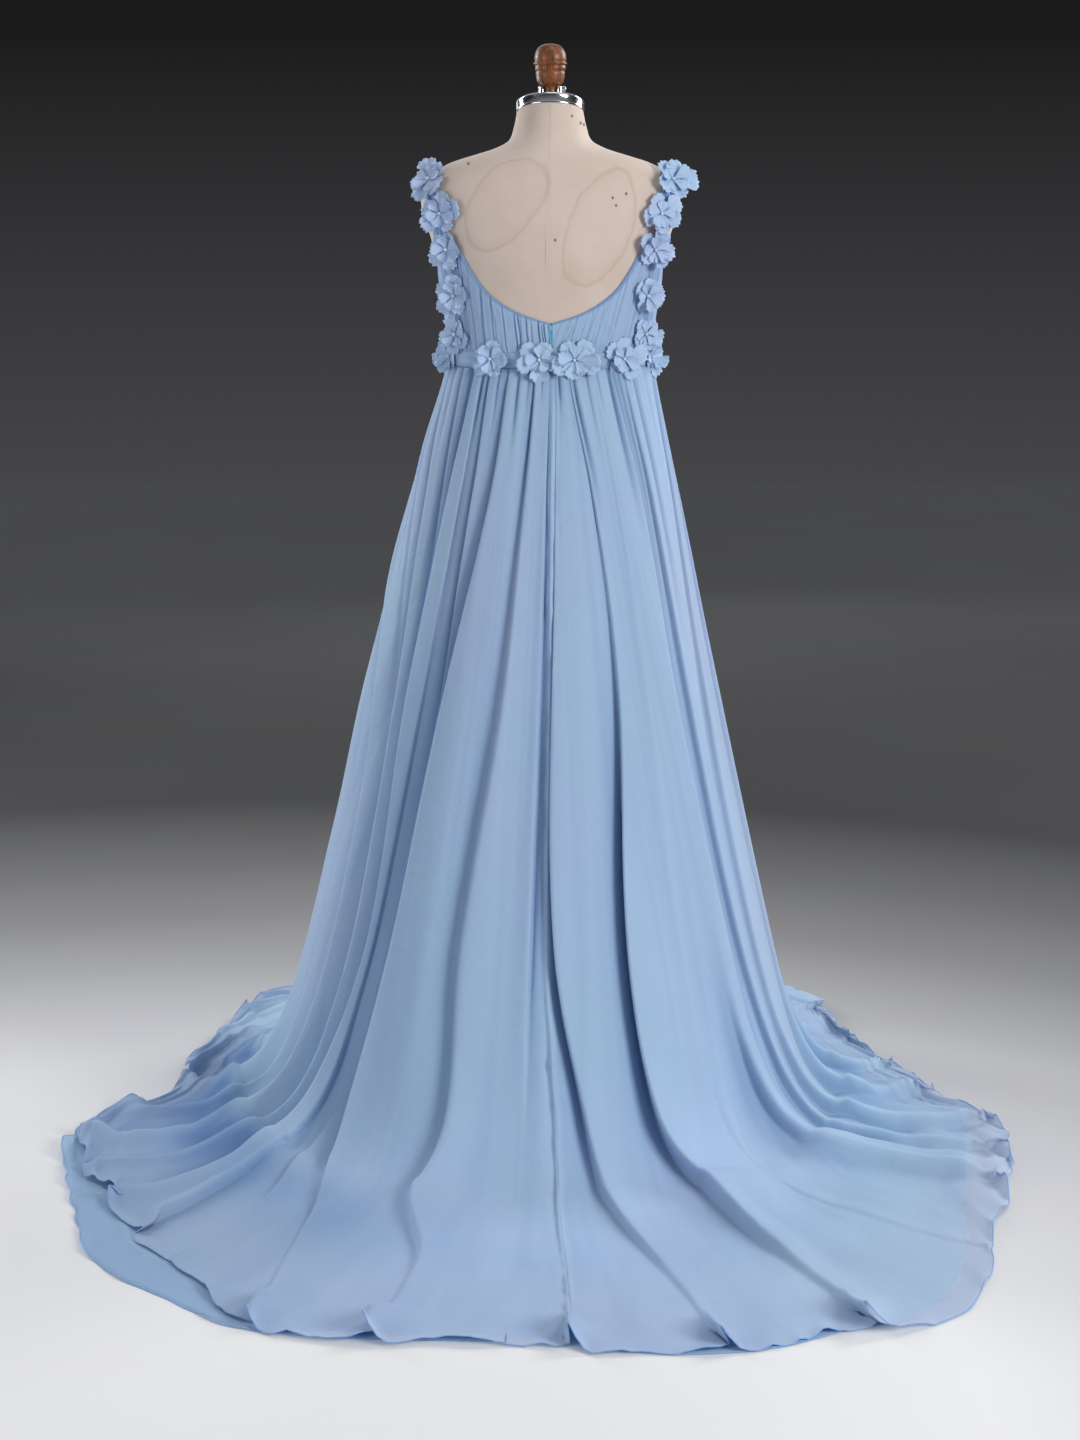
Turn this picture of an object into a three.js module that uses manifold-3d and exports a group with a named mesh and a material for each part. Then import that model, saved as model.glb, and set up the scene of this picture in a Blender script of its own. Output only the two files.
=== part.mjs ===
// Empire-line maternity dress with a train, worn by a limbless canvas dress form on a pole stand.
//
// Frame: millimetres, +Z up, origin at the centre of the stand's underside. The front faces -Y, the
// train runs towards +Y, and the wearer's left is +X. Angles round the body, in degrees, are 0 at the
// centre back, positive towards -X and 180 at the centre front.
import * as THREE from 'three';
import { mergeVertices } from 'three/addons/utils/BufferGeometryUtils.js';
import Module from 'manifold-3d';

const wasm = await Module();
wasm.setup();

// ---------------------------------------------------------------- driving dimensions

const SEAM = 0.3; // space left between pieces that touch

const WAIST_Z = 1147; // lower edge of the empire band
const BAND_TOP_Z = 1172;
const BAND_WALL = 2.2;
const SKIN_GAP = 1.2; // space between the form and the cloth on it
const BUST_GAP = 2.4; // the same over the bust
const CLOTH_WALL = 1.5; // ruched bodice and straps
const LAYER_WALL = 1.2; // each layer of the skirt
const FORM_STEP = 10; // degrees between the columns of the form and of the fitted cloth

const ZIP_WIDTH = 4;
const ZIP_EDGE = 2.4; // from the centre back to the edge of each bodice half

const STRAP_WIDTH = 26;
const FLOWER_RADIUS = 28; // largest flower, where its neighbours leave room
const FLOWER_GAP = 0.6; // from the cloth to a flower's foot
const PETALS = 5;

const FLOOR_BEND = 55; // how softly the skirt turns from hanging to lying
const LAYER_GAP_HELD = 0.4; // between the layers at the band and on the floor
const LAYER_GAP_FREE = 2.0; // between the layers where they hang

const BASE_RADIUS = 190;
const BASE_HEIGHT = 20;
const POLE_RADIUS = 16;
const FLANGE_RADIUS = 46;
const FLANGE_HEIGHT = 15;
const FORM_BOTTOM_Z = 780;

const CAP_TILT = 15; // degrees, the neck is cut lower at the front
const CAP_RADIUS = 50.5;
const CAP_HEIGHT = 17;
const CAP_BOTTOM_Z = 1522;
const COLLAR_RADIUS = 18;
const COLLAR_TOP_Z = 1547.5;
const CHEEK_HEIGHT = 14;

// Level sections of the dress form: half width, depth to the back and to the front of the side line,
// exponent of the rounded section, and the slope of the section plane, in degrees.
const FORM_SECTIONS = [
  { z: 780, width: 168, back: 114, front: 108, round: 2.2, tilt: 0 },
  { z: 860, width: 178, back: 122, front: 112, round: 2.2, tilt: 0 },
  { z: 950, width: 150, back: 102, front: 102, round: 2.2, tilt: 0 },
  { z: 1030, width: 126, back: 86, front: 92, round: 2.15, tilt: 0 },
  { z: 1090, width: 138, back: 91, front: 98, round: 2.15, tilt: 0 },
  { z: 1147, width: 150, back: 99, front: 106, round: 2.2, tilt: 0 },
  { z: 1172, width: 150.6, back: 101, front: 112.6, round: 2.2, tilt: 0 },
  { z: 1245, width: 159, back: 104, front: 134, round: 2.2, tilt: 0 },
  { z: 1305, width: 171, back: 104, front: 124, round: 2.2, tilt: 0 },
  { z: 1350, width: 184, back: 99, front: 100, round: 2.25, tilt: 0 },
  { z: 1380, width: 194, back: 93, front: 84, round: 2.3, tilt: 0 },
  { z: 1405, width: 194, back: 87, front: 73, round: 2.3, tilt: 0 },
  { z: 1423, width: 186, back: 82, front: 66, round: 2.25, tilt: 0 },
  { z: 1436, width: 173, back: 78, front: 61, round: 2.2, tilt: 0 },
  { z: 1449, width: 149, back: 75, front: 58, round: 2.1, tilt: 0 },
  { z: 1460, width: 114, back: 72, front: 57, round: 2.05, tilt: 0 },
  { z: 1469, width: 85, back: 69, front: 56, round: 2, tilt: 0 },
  { z: 1480, width: 63, back: 63, front: 54, round: 2, tilt: 5 },
  { z: 1498, width: 55, back: 56, front: 51, round: 2, tilt: 12 },
  { z: 1521.7, width: 50, back: 50, front: 50, round: 2, tilt: 15 },
];

// Upper edge of the bodice round the body: scooped back, straps, armhole, front neckline.
const BODICE_TOP = [
  { phi: 0, z: 1214 },
  { phi: 12, z: 1220 },
  { phi: 26, z: 1230 },
  { phi: 39, z: 1246 },
  { phi: 48, z: 1264 },
  { phi: 55, z: 1289 },
  { phi: 61, z: 1316 },
  { phi: 67, z: 1326 },
  { phi: 73, z: 1324 },
  { phi: 79, z: 1308 },
  { phi: 85, z: 1292 },
  { phi: 92, z: 1284 },
  { phi: 102, z: 1290 },
  { phi: 113, z: 1312 },
  { phi: 124, z: 1332 },
  { phi: 133, z: 1334 },
  { phi: 145, z: 1304 },
  { phi: 160, z: 1274 },
  { phi: 180, z: 1260 },
];

// Middle line of the left strap, from the band up the back, over the shoulder and down the front.
const STRAP_BACK = [
  { z: 1173, x: 141 },
  { z: 1246, x: 146 },
  { z: 1311, x: 157 },
  { z: 1366, x: 168 },
  { z: 1412, x: 178 },
];
const STRAP_FRONT = [
  { z: 1173, x: 131 },
  { z: 1240, x: 137 },
  { z: 1300, x: 146 },
  { z: 1360, x: 160 },
  { z: 1412, x: 175 },
];

// Round the skirt: where the cloth reaches the floor, where the overlay's hem lies, and how far the
// hem of the under layer lies outside it.
const FOOTPRINT = [
  { phi: -180, touch: 430, hem: 545, under: -8 },
  { phi: -150, touch: 430, hem: 640, under: -10 },
  { phi: -125, touch: 430, hem: 664, under: -8 },
  { phi: -95, touch: 436, hem: 600, under: -6 },
  { phi: -80, touch: 450, hem: 680, under: 6 },
  { phi: -60, touch: 480, hem: 812, under: 16 },
  { phi: -40, touch: 520, hem: 932, under: 18 },
  { phi: -22, touch: 540, hem: 1014, under: -6 },
  { phi: 0, touch: 540, hem: 988, under: 6 },
  { phi: 22, touch: 540, hem: 1018, under: 8 },
  { phi: 40, touch: 520, hem: 940, under: -30 },
  { phi: 60, touch: 480, hem: 792, under: -40 },
  { phi: 80, touch: 450, hem: 654, under: -24 },
  { phi: 100, touch: 438, hem: 578, under: -10 },
  { phi: 122, touch: 430, hem: 592, under: -8 },
  { phi: 145, touch: 430, hem: 664, under: -10 },
  { phi: 180, touch: 430, hem: 545, under: -8 },
];

// Folds of the overlay: the angle of each trough at the waist, half-way down, on reaching the floor
// and at the hem; its depth as a share of the fullness, its half width in mm; the ridge that it
// leaves on the floor in mm; and the height, as a share of the fall, where the trough fades out.
const FOLDS = [
  { waist: -173, knee: -175, floor: -176, hem: -177, depth: 0.7, width: 24, ridge: 4, ends: 1 },
  { waist: -159, knee: -159, floor: -160, hem: -161, depth: 0.9, width: 30, ridge: 7, ends: 1 },
  { waist: -147, knee: -140, floor: -139, hem: -141, depth: 0.6, width: 26, ridge: 5, ends: 1 },
  { waist: -135, knee: -121, floor: -118, hem: -121, depth: 0.85, width: 32, ridge: 9, ends: 1 },
  { waist: -124, knee: -102, floor: -100, hem: -105, depth: 0.5, width: 26, ridge: 5, ends: 0.8 },
  { waist: -114, knee: -80, floor: -79, hem: -87, depth: 0.7, width: 30, ridge: 9, ends: 1 },
  { waist: -100, knee: -61, floor: -60, hem: -67, depth: 0.8, width: 26, ridge: 14, ends: 1 },
  { waist: -76, knee: -51, floor: -53, hem: -57, depth: 0.45, width: 20, ridge: 8, ends: 0.85 },
  { waist: -53, knee: -42, floor: -46, hem: -47, depth: 0.75, width: 24, ridge: 13, ends: 1 },
  { waist: -40, knee: -36.5, floor: -39.5, hem: -34, depth: 0.6, width: 18, ridge: 4, ends: 0.7 },
  { waist: -28, knee: -31.5, floor: -33.5, hem: -21.5, depth: 1, width: 26, ridge: 16, ends: 1 },
  { waist: -10, knee: -16.5, floor: -17.5, hem: -12.5, depth: 0.5, width: 26, ridge: 20, ends: 0.6 },
  { waist: -1, knee: -4.5, floor: -5, hem: -3.5, depth: 0.6, width: 14, ridge: 3, ends: 0.95 },
  { waist: 5, knee: 0, floor: 6, hem: 13.5, depth: 0.7, width: 16, ridge: 20, ends: 1 },
  { waist: 20, knee: 16.5, floor: 21.5, hem: 24, depth: 1, width: 30, ridge: 26, ends: 1 },
  { waist: 35, knee: 27, floor: 32, hem: 40, depth: 0.3, width: 30, ridge: 5, ends: 0.8 },
  { waist: 51, knee: 39, floor: 46, hem: 58, depth: 0.9, width: 30, ridge: 16, ends: 1 },
  { waist: 72, knee: 55, floor: 60, hem: 72, depth: 0.5, width: 28, ridge: 8, ends: 1 },
  { waist: 92, knee: 72, floor: 75, hem: 83, depth: 0.6, width: 26, ridge: 8, ends: 1 },
  { waist: 106, knee: 88, floor: 91, hem: 96, depth: 0.7, width: 28, ridge: 6, ends: 1 },
  { waist: 120, knee: 105, floor: 107, hem: 110, depth: 0.5, width: 26, ridge: 5, ends: 0.85 },
  { waist: 134, knee: 122, floor: 124, hem: 126, depth: 0.9, width: 32, ridge: 8, ends: 1 },
  { waist: 147, knee: 139, floor: 141, hem: 143, depth: 0.6, width: 24, ridge: 6, ends: 1 },
  { waist: 161, knee: 157, floor: 158, hem: 159, depth: 0.8, width: 30, ridge: 7, ends: 1 },
];
const FOLD_HEIGHTS = { waist: 0.05, knee: 0.5, floor: 1, hem: 2 };
const CENTRE_SEAM = 12; // the fold that holds the centre-back seam
const LEFT_SIDE_SEAM = 5;
const RIGHT_SIDE_SEAM = 19;

// Fullness of the overlay, from trough to crest, down the skirt.
const FULLNESS = [
  { v: 0, mm: 2 },
  { v: 0.03, mm: 5 },
  { v: 0.1, mm: 12 },
  { v: 0.3, mm: 22 },
  { v: 0.55, mm: 29 },
  { v: 0.8, mm: 34 },
  { v: 1, mm: 30 },
  { v: 2, mm: 0 },
];
// Rows of the skirt: 0 at the band, 1 where it reaches the floor, 2 at the hem.
const SKIRT_ROWS = [0, 0.03, 0.12, 0.32, 0.55, 0.76, 0.89, 0.98, 1.08, 1.28, 1.62, 2];

// Flowers: heights up each strap, at the back and the front, and places round the band.
const STRAP_FLOWERS = [
  { name: 'back_1', face: 'back', z: 1197 },
  { name: 'back_2', face: 'back', z: 1252 },
  { name: 'back_3', face: 'back', z: 1317 },
  { name: 'back_4', face: 'back', z: 1371 },
  { name: 'back_5', face: 'back', z: 1411 },
  { name: 'front_1', face: 'front', z: 1212 },
  { name: 'front_2', face: 'front', z: 1268 },
  { name: 'front_3', face: 'front', z: 1324 },
  { name: 'front_4', face: 'front', z: 1376 },
];
const BAND_FLOWERS = [
  { name: 'back_1', phi: -79 },
  { name: 'back_2', phi: -45 },
  { name: 'back_3', phi: -9 },
  { name: 'back_4', phi: 19 },
  { name: 'back_5', phi: 54 },
  { name: 'back_6', phi: 80 },
  { name: 'front_1', phi: 106 },
  { name: 'front_2', phi: 133 },
  { name: 'front_3', phi: 164 },
  { name: 'front_4', phi: -164 },
  { name: 'front_5', phi: -133 },
  { name: 'front_6', phi: -106 },
];

// Turned knob, from its stem up: radius at each height above the stem's foot.
const KNOB_PROFILE = [
  { r: 12.4, z: 0 },
  { r: 11.6, z: 8 },
  { r: 13.6, z: 14 },
  { r: 18, z: 17 },
  { r: 22, z: 32 },
  { r: 23.2, z: 42 },
  { r: 25, z: 45.5 },
  { r: 23.6, z: 49 },
  { r: 23, z: 56 },
  { r: 20.5, z: 65 },
  { r: 13, z: 72 },
  { r: 0, z: 74.5 },
];

// ---------------------------------------------------------------- finishes

const FINISHES = {
  chiffon: new THREE.MeshStandardMaterial({ color: '#98b2d8', roughness: 0.8 }),
  underlayer: new THREE.MeshStandardMaterial({ color: '#8aa6cf', roughness: 0.85 }),
  bodice: new THREE.MeshStandardMaterial({ color: '#93add4', roughness: 0.8 }),
  petals: new THREE.MeshStandardMaterial({ color: '#9db6da', roughness: 0.75 }),
  zip: new THREE.MeshStandardMaterial({ color: '#3ea7c4', roughness: 0.6 }),
  canvas: new THREE.MeshStandardMaterial({ color: '#cdbcaf', roughness: 0.9 }),
  chrome: new THREE.MeshStandardMaterial({ color: '#d8dadd', roughness: 0.12, metalness: 1 }),
  wood: new THREE.MeshStandardMaterial({ color: '#96592a', roughness: 0.35 }),
  iron: new THREE.MeshStandardMaterial({ color: '#26262a', roughness: 0.5, metalness: 0.3 }),
};

// ---------------------------------------------------------------- curves and solids

const radians = THREE.MathUtils.degToRad;
const smooth = THREE.MathUtils.smoothstep;

// A smooth curve through the rows of a table: the value of `column` at a place along `along`.
function curve(rows, along, column) {
  const xs = rows.map((row) => row[along]);
  const ys = rows.map((row) => row[column]);
  const last = xs.length - 1;
  const slopes = ys.map((_, i) => {
    const before = Math.max(i - 1, 0);
    const after = Math.min(i + 1, last);
    return (ys[after] - ys[before]) / (xs[after] - xs[before]);
  });
  return (x) => {
    if (x <= xs[0]) return ys[0];
    if (x >= xs[last]) return ys[last];
    const i = xs.findIndex((knot) => knot > x) - 1;
    const span = xs[i + 1] - xs[i];
    const t = (x - xs[i]) / span;
    const bend = t * t * (3 - 2 * t);
    const start = t * (1 - t) * (1 - t) * span * slopes[i];
    const end = t * t * (t - 1) * span * slopes[i + 1];
    return ys[i] * (1 - bend) + ys[i + 1] * bend + start + end;
  };
}

// A closed solid from points and triangles, its faces turned outwards.
function solid(points, triangles) {
  const volume = triangles.reduce((sum, [a, b, c]) => {
    return sum + points[a].dot(new THREE.Vector3().crossVectors(points[b], points[c]));
  }, 0);
  const index = triangles.flatMap(([a, b, c]) => (volume > 0 ? [a, b, c] : [a, c, b]));
  const geometry = new THREE.BufferGeometry();
  const places = points.flatMap((point) => point.toArray());
  geometry.setAttribute('position', new THREE.Float32BufferAttribute(places, 3));
  geometry.setIndex(index);
  geometry.computeVertexNormals();
  return geometry;
}

// A wall of cloth between two grids of points, grid[column][row], closed along its four edges.
function wall(inner, outer) {
  const columns = inner.length;
  const rows = inner[0].length;
  const points = [...inner.flat(), ...outer.flat()];
  const at = (side, i, j) => side * columns * rows + i * rows + j;
  const triangles = [];
  const quad = (a, b, c, d) => triangles.push([a, b, c], [a, c, d]);
  for (let i = 0; i < columns - 1; i += 1) {
    for (let j = 0; j < rows - 1; j += 1) {
      quad(at(0, i, j), at(0, i, j + 1), at(0, i + 1, j + 1), at(0, i + 1, j));
      quad(at(1, i, j), at(1, i + 1, j), at(1, i + 1, j + 1), at(1, i, j + 1));
    }
    quad(at(0, i, 0), at(0, i + 1, 0), at(1, i + 1, 0), at(1, i, 0));
    quad(at(0, i, rows - 1), at(1, i, rows - 1), at(1, i + 1, rows - 1), at(0, i + 1, rows - 1));
  }
  for (let j = 0; j < rows - 1; j += 1) {
    quad(at(0, 0, j), at(1, 0, j), at(1, 0, j + 1), at(0, 0, j + 1));
    const last = columns - 1;
    quad(at(0, last, j), at(0, last, j + 1), at(1, last, j + 1), at(1, last, j));
  }
  return solid(points, triangles);
}

// A closed solid through rings of equal length, from the first to the last; a ring of one point is
// a tip, and an open end is closed with a fan.
function loft(rings) {
  const points = [];
  const starts = rings.map((ring) => {
    const start = points.length;
    points.push(...ring);
    return start;
  });
  const sides = Math.max(...rings.map((ring) => ring.length));
  const at = (k, i) => starts[k] + (rings[k].length === 1 ? 0 : i % sides);
  const triangles = [];
  for (let k = 0; k < rings.length - 1; k += 1) {
    for (let i = 0; i < sides; i += 1) {
      if (rings[k + 1].length > 1) triangles.push([at(k, i), at(k + 1, i + 1), at(k + 1, i)]);
      if (rings[k].length > 1) triangles.push([at(k, i), at(k, i + 1), at(k + 1, i + 1)]);
    }
  }
  for (const [k, turn] of [[0, 1], [rings.length - 1, -1]]) {
    if (rings[k].length === 1) continue;
    const centre = rings[k].reduce((sum, p) => sum.add(p), new THREE.Vector3()).divideScalar(sides);
    points.push(centre);
    for (let i = 0; i < sides; i += 1) {
      const pair = turn > 0 ? [at(k, i), at(k, i + 1)] : [at(k, i + 1), at(k, i)];
      triangles.push([points.length - 1, pair[1], pair[0]]);
    }
  }
  return solid(points, triangles);
}

// A turned piece standing along +Z, from a table of radii and heights that starts off the axis.
function turned(profile, segments) {
  const foot = new THREE.Vector2(0, profile[0].z);
  const outline = [foot, ...profile.map(({ r, z }) => new THREE.Vector2(r, z))];
  if (profile.at(-1).r > 0) outline.push(new THREE.Vector2(0, profile.at(-1).z));
  return new THREE.LatheGeometry(outline, segments).rotateX(Math.PI / 2);
}

function toManifold(geometry) {
  const bare = geometry.clone();
  bare.deleteAttribute('normal');
  bare.deleteAttribute('uv');
  const merged = mergeVertices(bare, 1e-4);
  const vertProperties = new Float32Array(merged.attributes.position.array);
  const triVerts = new Uint32Array(merged.index.array);
  return new wasm.Manifold(new wasm.Mesh({ numProp: 3, vertProperties, triVerts }));
}

function joined(geometries) {
  const mesh = geometries.map(toManifold).reduce((sum, piece) => sum.add(piece)).getMesh();
  const geometry = new THREE.BufferGeometry();
  geometry.setAttribute('position', new THREE.BufferAttribute(mesh.vertProperties, 3));
  geometry.setIndex(new THREE.BufferAttribute(mesh.triVerts, 1));
  geometry.computeVertexNormals();
  return geometry;
}

const dress = new THREE.Group();

function add(name, geometry, finish) {
  const mesh = new THREE.Mesh(geometry, FINISHES[finish]);
  mesh.name = name;
  dress.add(mesh);
  return mesh;
}

// ---------------------------------------------------------------- the form's surface

const formWidth = curve(FORM_SECTIONS, 'z', 'width');
const formBack = curve(FORM_SECTIONS, 'z', 'back');
const formFront = curve(FORM_SECTIONS, 'z', 'front');
const formRound = curve(FORM_SECTIONS, 'z', 'round');

// Level section of the form, `off` mm outside its surface, at an angle round the body.
function onBody(phi, z, off) {
  const turn = radians(phi);
  const side = Math.abs(Math.sin(turn)) / (formWidth(z) + off);
  const depth = Math.cos(turn) > 0 ? formBack(z) : formFront(z);
  const along = Math.abs(Math.cos(turn)) / (depth + off);
  const n = formRound(z);
  const reach = (side ** n + along ** n) ** (-1 / n);
  return new THREE.Vector3(-reach * Math.sin(turn), reach * Math.cos(turn), z);
}

// 0 on the form's surface, positive outside.
function outside(x, y, z) {
  const n = formRound(z);
  const depth = y > 0 ? formBack(z) : formFront(z);
  return ((Math.abs(x) / formWidth(z)) ** n + (Math.abs(y) / depth) ** n) ** (1 / n) - 1;
}

function formNormal({ x, y, z }) {
  const step = 1;
  return new THREE.Vector3(
    outside(x + step, y, z) - outside(x - step, y, z),
    outside(x, y + step, z) - outside(x, y - step, z),
    outside(x, y, z + step) - outside(x, y, z - step),
  ).normalize();
}

// ---------------------------------------------------------------- dress form and stand

function buildForm() {
  const angles = Array.from({ length: 360 / FORM_STEP }, (_, i) => i * FORM_STEP);
  const rings = FORM_SECTIONS.map(({ z, tilt }) => angles.map((phi) => {
    const point = onBody(phi, z, 0);
    point.z += point.y * Math.tan(radians(tilt));
    return point;
  }));
  add('form_torso', loft(rings), 'canvas');

  const cap = turned([
    { r: CAP_RADIUS, z: 0 },
    { r: CAP_RADIUS, z: CAP_HEIGHT - 2 },
    { r: CAP_RADIUS - 2, z: CAP_HEIGHT },
  ], 32);
  const capMesh = add('neck_cap', cap, 'chrome');
  capMesh.rotation.x = radians(CAP_TILT);
  capMesh.position.set(0, 0, CAP_BOTTOM_Z);

  buildFinial();
}

// Collar on the sloping cap with two cheeks that hold the knob's stem, and the screw through one.
function buildFinial() {
  const slope = Math.tan(radians(CAP_TILT));
  const capTop = CAP_BOTTOM_Z + CAP_HEIGHT / Math.cos(radians(CAP_TILT)) + SEAM;
  const sides = 24;
  const ring = (height) => Array.from({ length: sides }, (_, i) => {
    const turn = (i * 2 * Math.PI) / sides;
    const x = COLLAR_RADIUS * Math.cos(turn);
    const y = COLLAR_RADIUS * Math.sin(turn);
    return new THREE.Vector3(x, y, height(y));
  });
  const boss = loft([ring((y) => capTop + y * slope), ring(() => COLLAR_TOP_Z)]);
  const cheek = (side) => {
    const middle = side > 0 ? 0 : Math.PI;
    const spread = radians(52);
    const arc = new THREE.Shape();
    arc.absarc(0, 0, COLLAR_RADIUS, middle - spread, middle + spread, false);
    arc.absarc(0, 0, COLLAR_RADIUS - 2, middle + spread, middle - spread, true);
    const shape = { depth: CHEEK_HEIGHT + 1, bevelEnabled: false, curveSegments: 6 };
    return new THREE.ExtrudeGeometry(arc, shape).translate(0, 0, COLLAR_TOP_Z - 1);
  };
  add('collar', joined([boss, cheek(1), cheek(-1)]), 'chrome');

  const stemFoot = COLLAR_TOP_Z + SEAM;
  const knob = add('knob', turned(KNOB_PROFILE, 24), 'wood');
  knob.position.z = stemFoot;

  const screw = add('set_screw', turned([{ r: 4, z: 0 }, { r: 4, z: 4 }, { r: 2.5, z: 5 }], 12), 'chrome');
  screw.rotation.y = -Math.PI / 2;
  screw.position.set(-(COLLAR_RADIUS + SEAM), 0, COLLAR_TOP_Z + CHEEK_HEIGHT - 5);
}

function buildStand() {
  add('stand_base', turned([
    { r: BASE_RADIUS, z: 0 },
    { r: BASE_RADIUS, z: BASE_HEIGHT - 8 },
    { r: BASE_RADIUS - 8, z: BASE_HEIGHT - 3 },
    { r: POLE_RADIUS + 14, z: BASE_HEIGHT },
  ], 40), 'iron');
  const poleLow = BASE_HEIGHT + SEAM;
  const flangeLow = FORM_BOTTOM_Z - SEAM - FLANGE_HEIGHT;
  const poleEnds = [{ r: POLE_RADIUS, z: poleLow }, { r: POLE_RADIUS, z: flangeLow - SEAM }];
  add('stand_pole', turned(poleEnds, 20), 'iron');
  add('form_flange', turned([
    { r: POLE_RADIUS + 6, z: flangeLow },
    { r: FLANGE_RADIUS, z: flangeLow + 8 },
    { r: FLANGE_RADIUS, z: flangeLow + FLANGE_HEIGHT },
  ], 24), 'iron');
}

// ---------------------------------------------------------------- bodice, band, zip and straps

const bodiceTop = curve(BODICE_TOP, 'phi', 'z');

// Angles from one edge of a panel to the other, with the form's own columns between them.
function panelAngles(from, to) {
  const angles = [from];
  const first = Math.ceil((from + 1) / FORM_STEP) * FORM_STEP;
  for (let phi = first; phi < to - 1; phi += FORM_STEP) angles.push(phi);
  angles.push(to);
  return angles;
}

function fittedPanel(angles, low, high, gap, thickness, rows) {
  const grid = (off) => angles.map((phi) => Array.from({ length: rows + 1 }, (_, j) => {
    const z = THREE.MathUtils.lerp(low, high(phi), j / rows);
    return onBody(phi, z, off);
  }));
  return wall(grid(gap), grid(gap + thickness));
}

function buildBodice() {
  const low = BAND_TOP_Z + SEAM;
  const centre = THREE.MathUtils.radToDeg(Math.atan(ZIP_EDGE / (formBack(low) + SKIN_GAP)));
  const side = 92;
  const sideGap = THREE.MathUtils.radToDeg(SEAM / formWidth(low));
  const top = (phi) => bodiceTop(phi > 180 ? 360 - phi : Math.abs(phi));
  const panels = {
    bodice_back_left: panelAngles(-side, -centre),
    bodice_back_right: panelAngles(centre, side),
    bodice_front: panelAngles(side + sideGap, 360 - side - sideGap),
  };
  for (const [name, angles] of Object.entries(panels)) {
    const [gap, rows] = name === 'bodice_front' ? [BUST_GAP, 5] : [SKIN_GAP, 3];
    add(name, fittedPanel(angles, low, top, gap, CLOTH_WALL, rows), 'bodice');
  }

  const gap = THREE.MathUtils.radToDeg(SEAM / formBack(WAIST_Z));
  const band = fittedPanel(panelAngles(gap, 360 - gap), WAIST_Z, () => BAND_TOP_Z, SKIN_GAP, BAND_WALL, 1);
  add('waistband', band, 'bodice');

  buildZip(low, bodiceTop(0));
}

// Tape that closes the two halves of the bodice, and the slider parked at its top.
function buildZip(low, high) {
  const strip = (half, off, z) => new THREE.Vector3(half, formBack(z) + off, z);
  const grid = (off) => [-ZIP_WIDTH / 2, ZIP_WIDTH / 2].map((x) => {
    return [low, (low + high) / 2, high - 1].map((z) => strip(x, off, z));
  });
  add('zip_tape', wall(grid(SKIN_GAP), grid(SKIN_GAP + LAYER_WALL)), 'zip');

  const outline = new THREE.Shape();
  outline.moveTo(-1.6, 0);
  outline.lineTo(1.6, 0);
  outline.lineTo(2.2, 5);
  outline.absarc(0, 5, 2.2, 0, Math.PI, false);
  const body = new THREE.ExtrudeGeometry(outline, { depth: 2, bevelEnabled: false, curveSegments: 6 });
  const slider = add('zip_slider', body, 'zip');
  slider.rotation.x = -Math.PI / 2;
  slider.position.set(0, formBack(high) + SKIN_GAP + LAYER_WALL + SEAM, high - 2);
}

const strapX = { back: curve(STRAP_BACK, 'z', 'x'), front: curve(STRAP_FRONT, 'z', 'x') };

// The point of the form under a strap's middle line, at a height up its back or front run.
function underStrap(side, face, z) {
  const x = strapX[face](z);
  const n = formRound(z);
  const depth = face === 'back' ? formBack(z) : -formFront(z);
  return new THREE.Vector3(side * x, depth * (1 - (x / formWidth(z)) ** n) ** (1 / n), z);
}

// Heights of a strap's stations: one under each flower, one half-way between, and both ends.
function strapHeights(face, high) {
  const flowers = STRAP_FLOWERS.filter((row) => row.face === face);
  const held = [BAND_TOP_Z + 5 * SEAM, ...flowers.map(({ z }) => z)];
  if (high - held.at(-1) > 5) held.push(high);
  return held.flatMap((z, i) => (i === 0 ? [z] : [(held[i - 1] + z) / 2, z]));
}

// Stations along a strap's middle line on the form: up the back, over the shoulder, down the front.
function strapLine(side) {
  const high = STRAP_BACK.at(-1).z;
  const back = strapHeights('back', high).map((z) => underStrap(side, 'back', z));
  const front = strapHeights('front', high).map((z) => underStrap(side, 'front', z)).reverse();
  const over = [];
  const steps = 7;
  for (let i = 1; i < steps; i += 1) {
    const point = back.at(-1).clone().lerp(front[0], i / steps);
    let below = high - 4;
    let above = 1460;
    for (let k = 0; k < 24; k += 1) {
      const middle = (below + above) / 2;
      if (outside(point.x, point.y, middle) > 0) above = middle;
      else below = middle;
    }
    over.push(point.setZ(above));
  }
  return [...back, ...over, ...front];
}

// Height of the strap's inner face over the form: over the bodice low down, on the form above it.
function strapLift({ y, z }) {
  const under = (y > 0 ? SKIN_GAP : BUST_GAP) + CLOTH_WALL + SEAM;
  return THREE.MathUtils.lerp(under, SKIN_GAP, smooth(z, 1325, 1375));
}

function buildStrap(name, side) {
  const line = strapLine(side);
  const inner = [[], []];
  const outer = [[], []];
  line.forEach((point, i) => {
    const normal = formNormal(point);
    const along = line[Math.min(i + 1, line.length - 1)].clone().sub(line[Math.max(i - 1, 0)]).normalize();
    const across = new THREE.Vector3().crossVectors(along, normal).normalize();
    if (i === 0 || i === line.length - 1) across.setZ(0).normalize();
    [-1, 1].forEach((edge, k) => {
      const corner = point.clone().addScaledVector(across, (edge * STRAP_WIDTH) / 2);
      inner[k].push(corner.clone().addScaledVector(normal, strapLift(point)));
      outer[k].push(corner.clone().addScaledVector(normal, strapLift(point) + CLOTH_WALL));
    });
  });
  add(name, wall(inner, outer), 'bodice');
}

// ---------------------------------------------------------------- flowers

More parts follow.
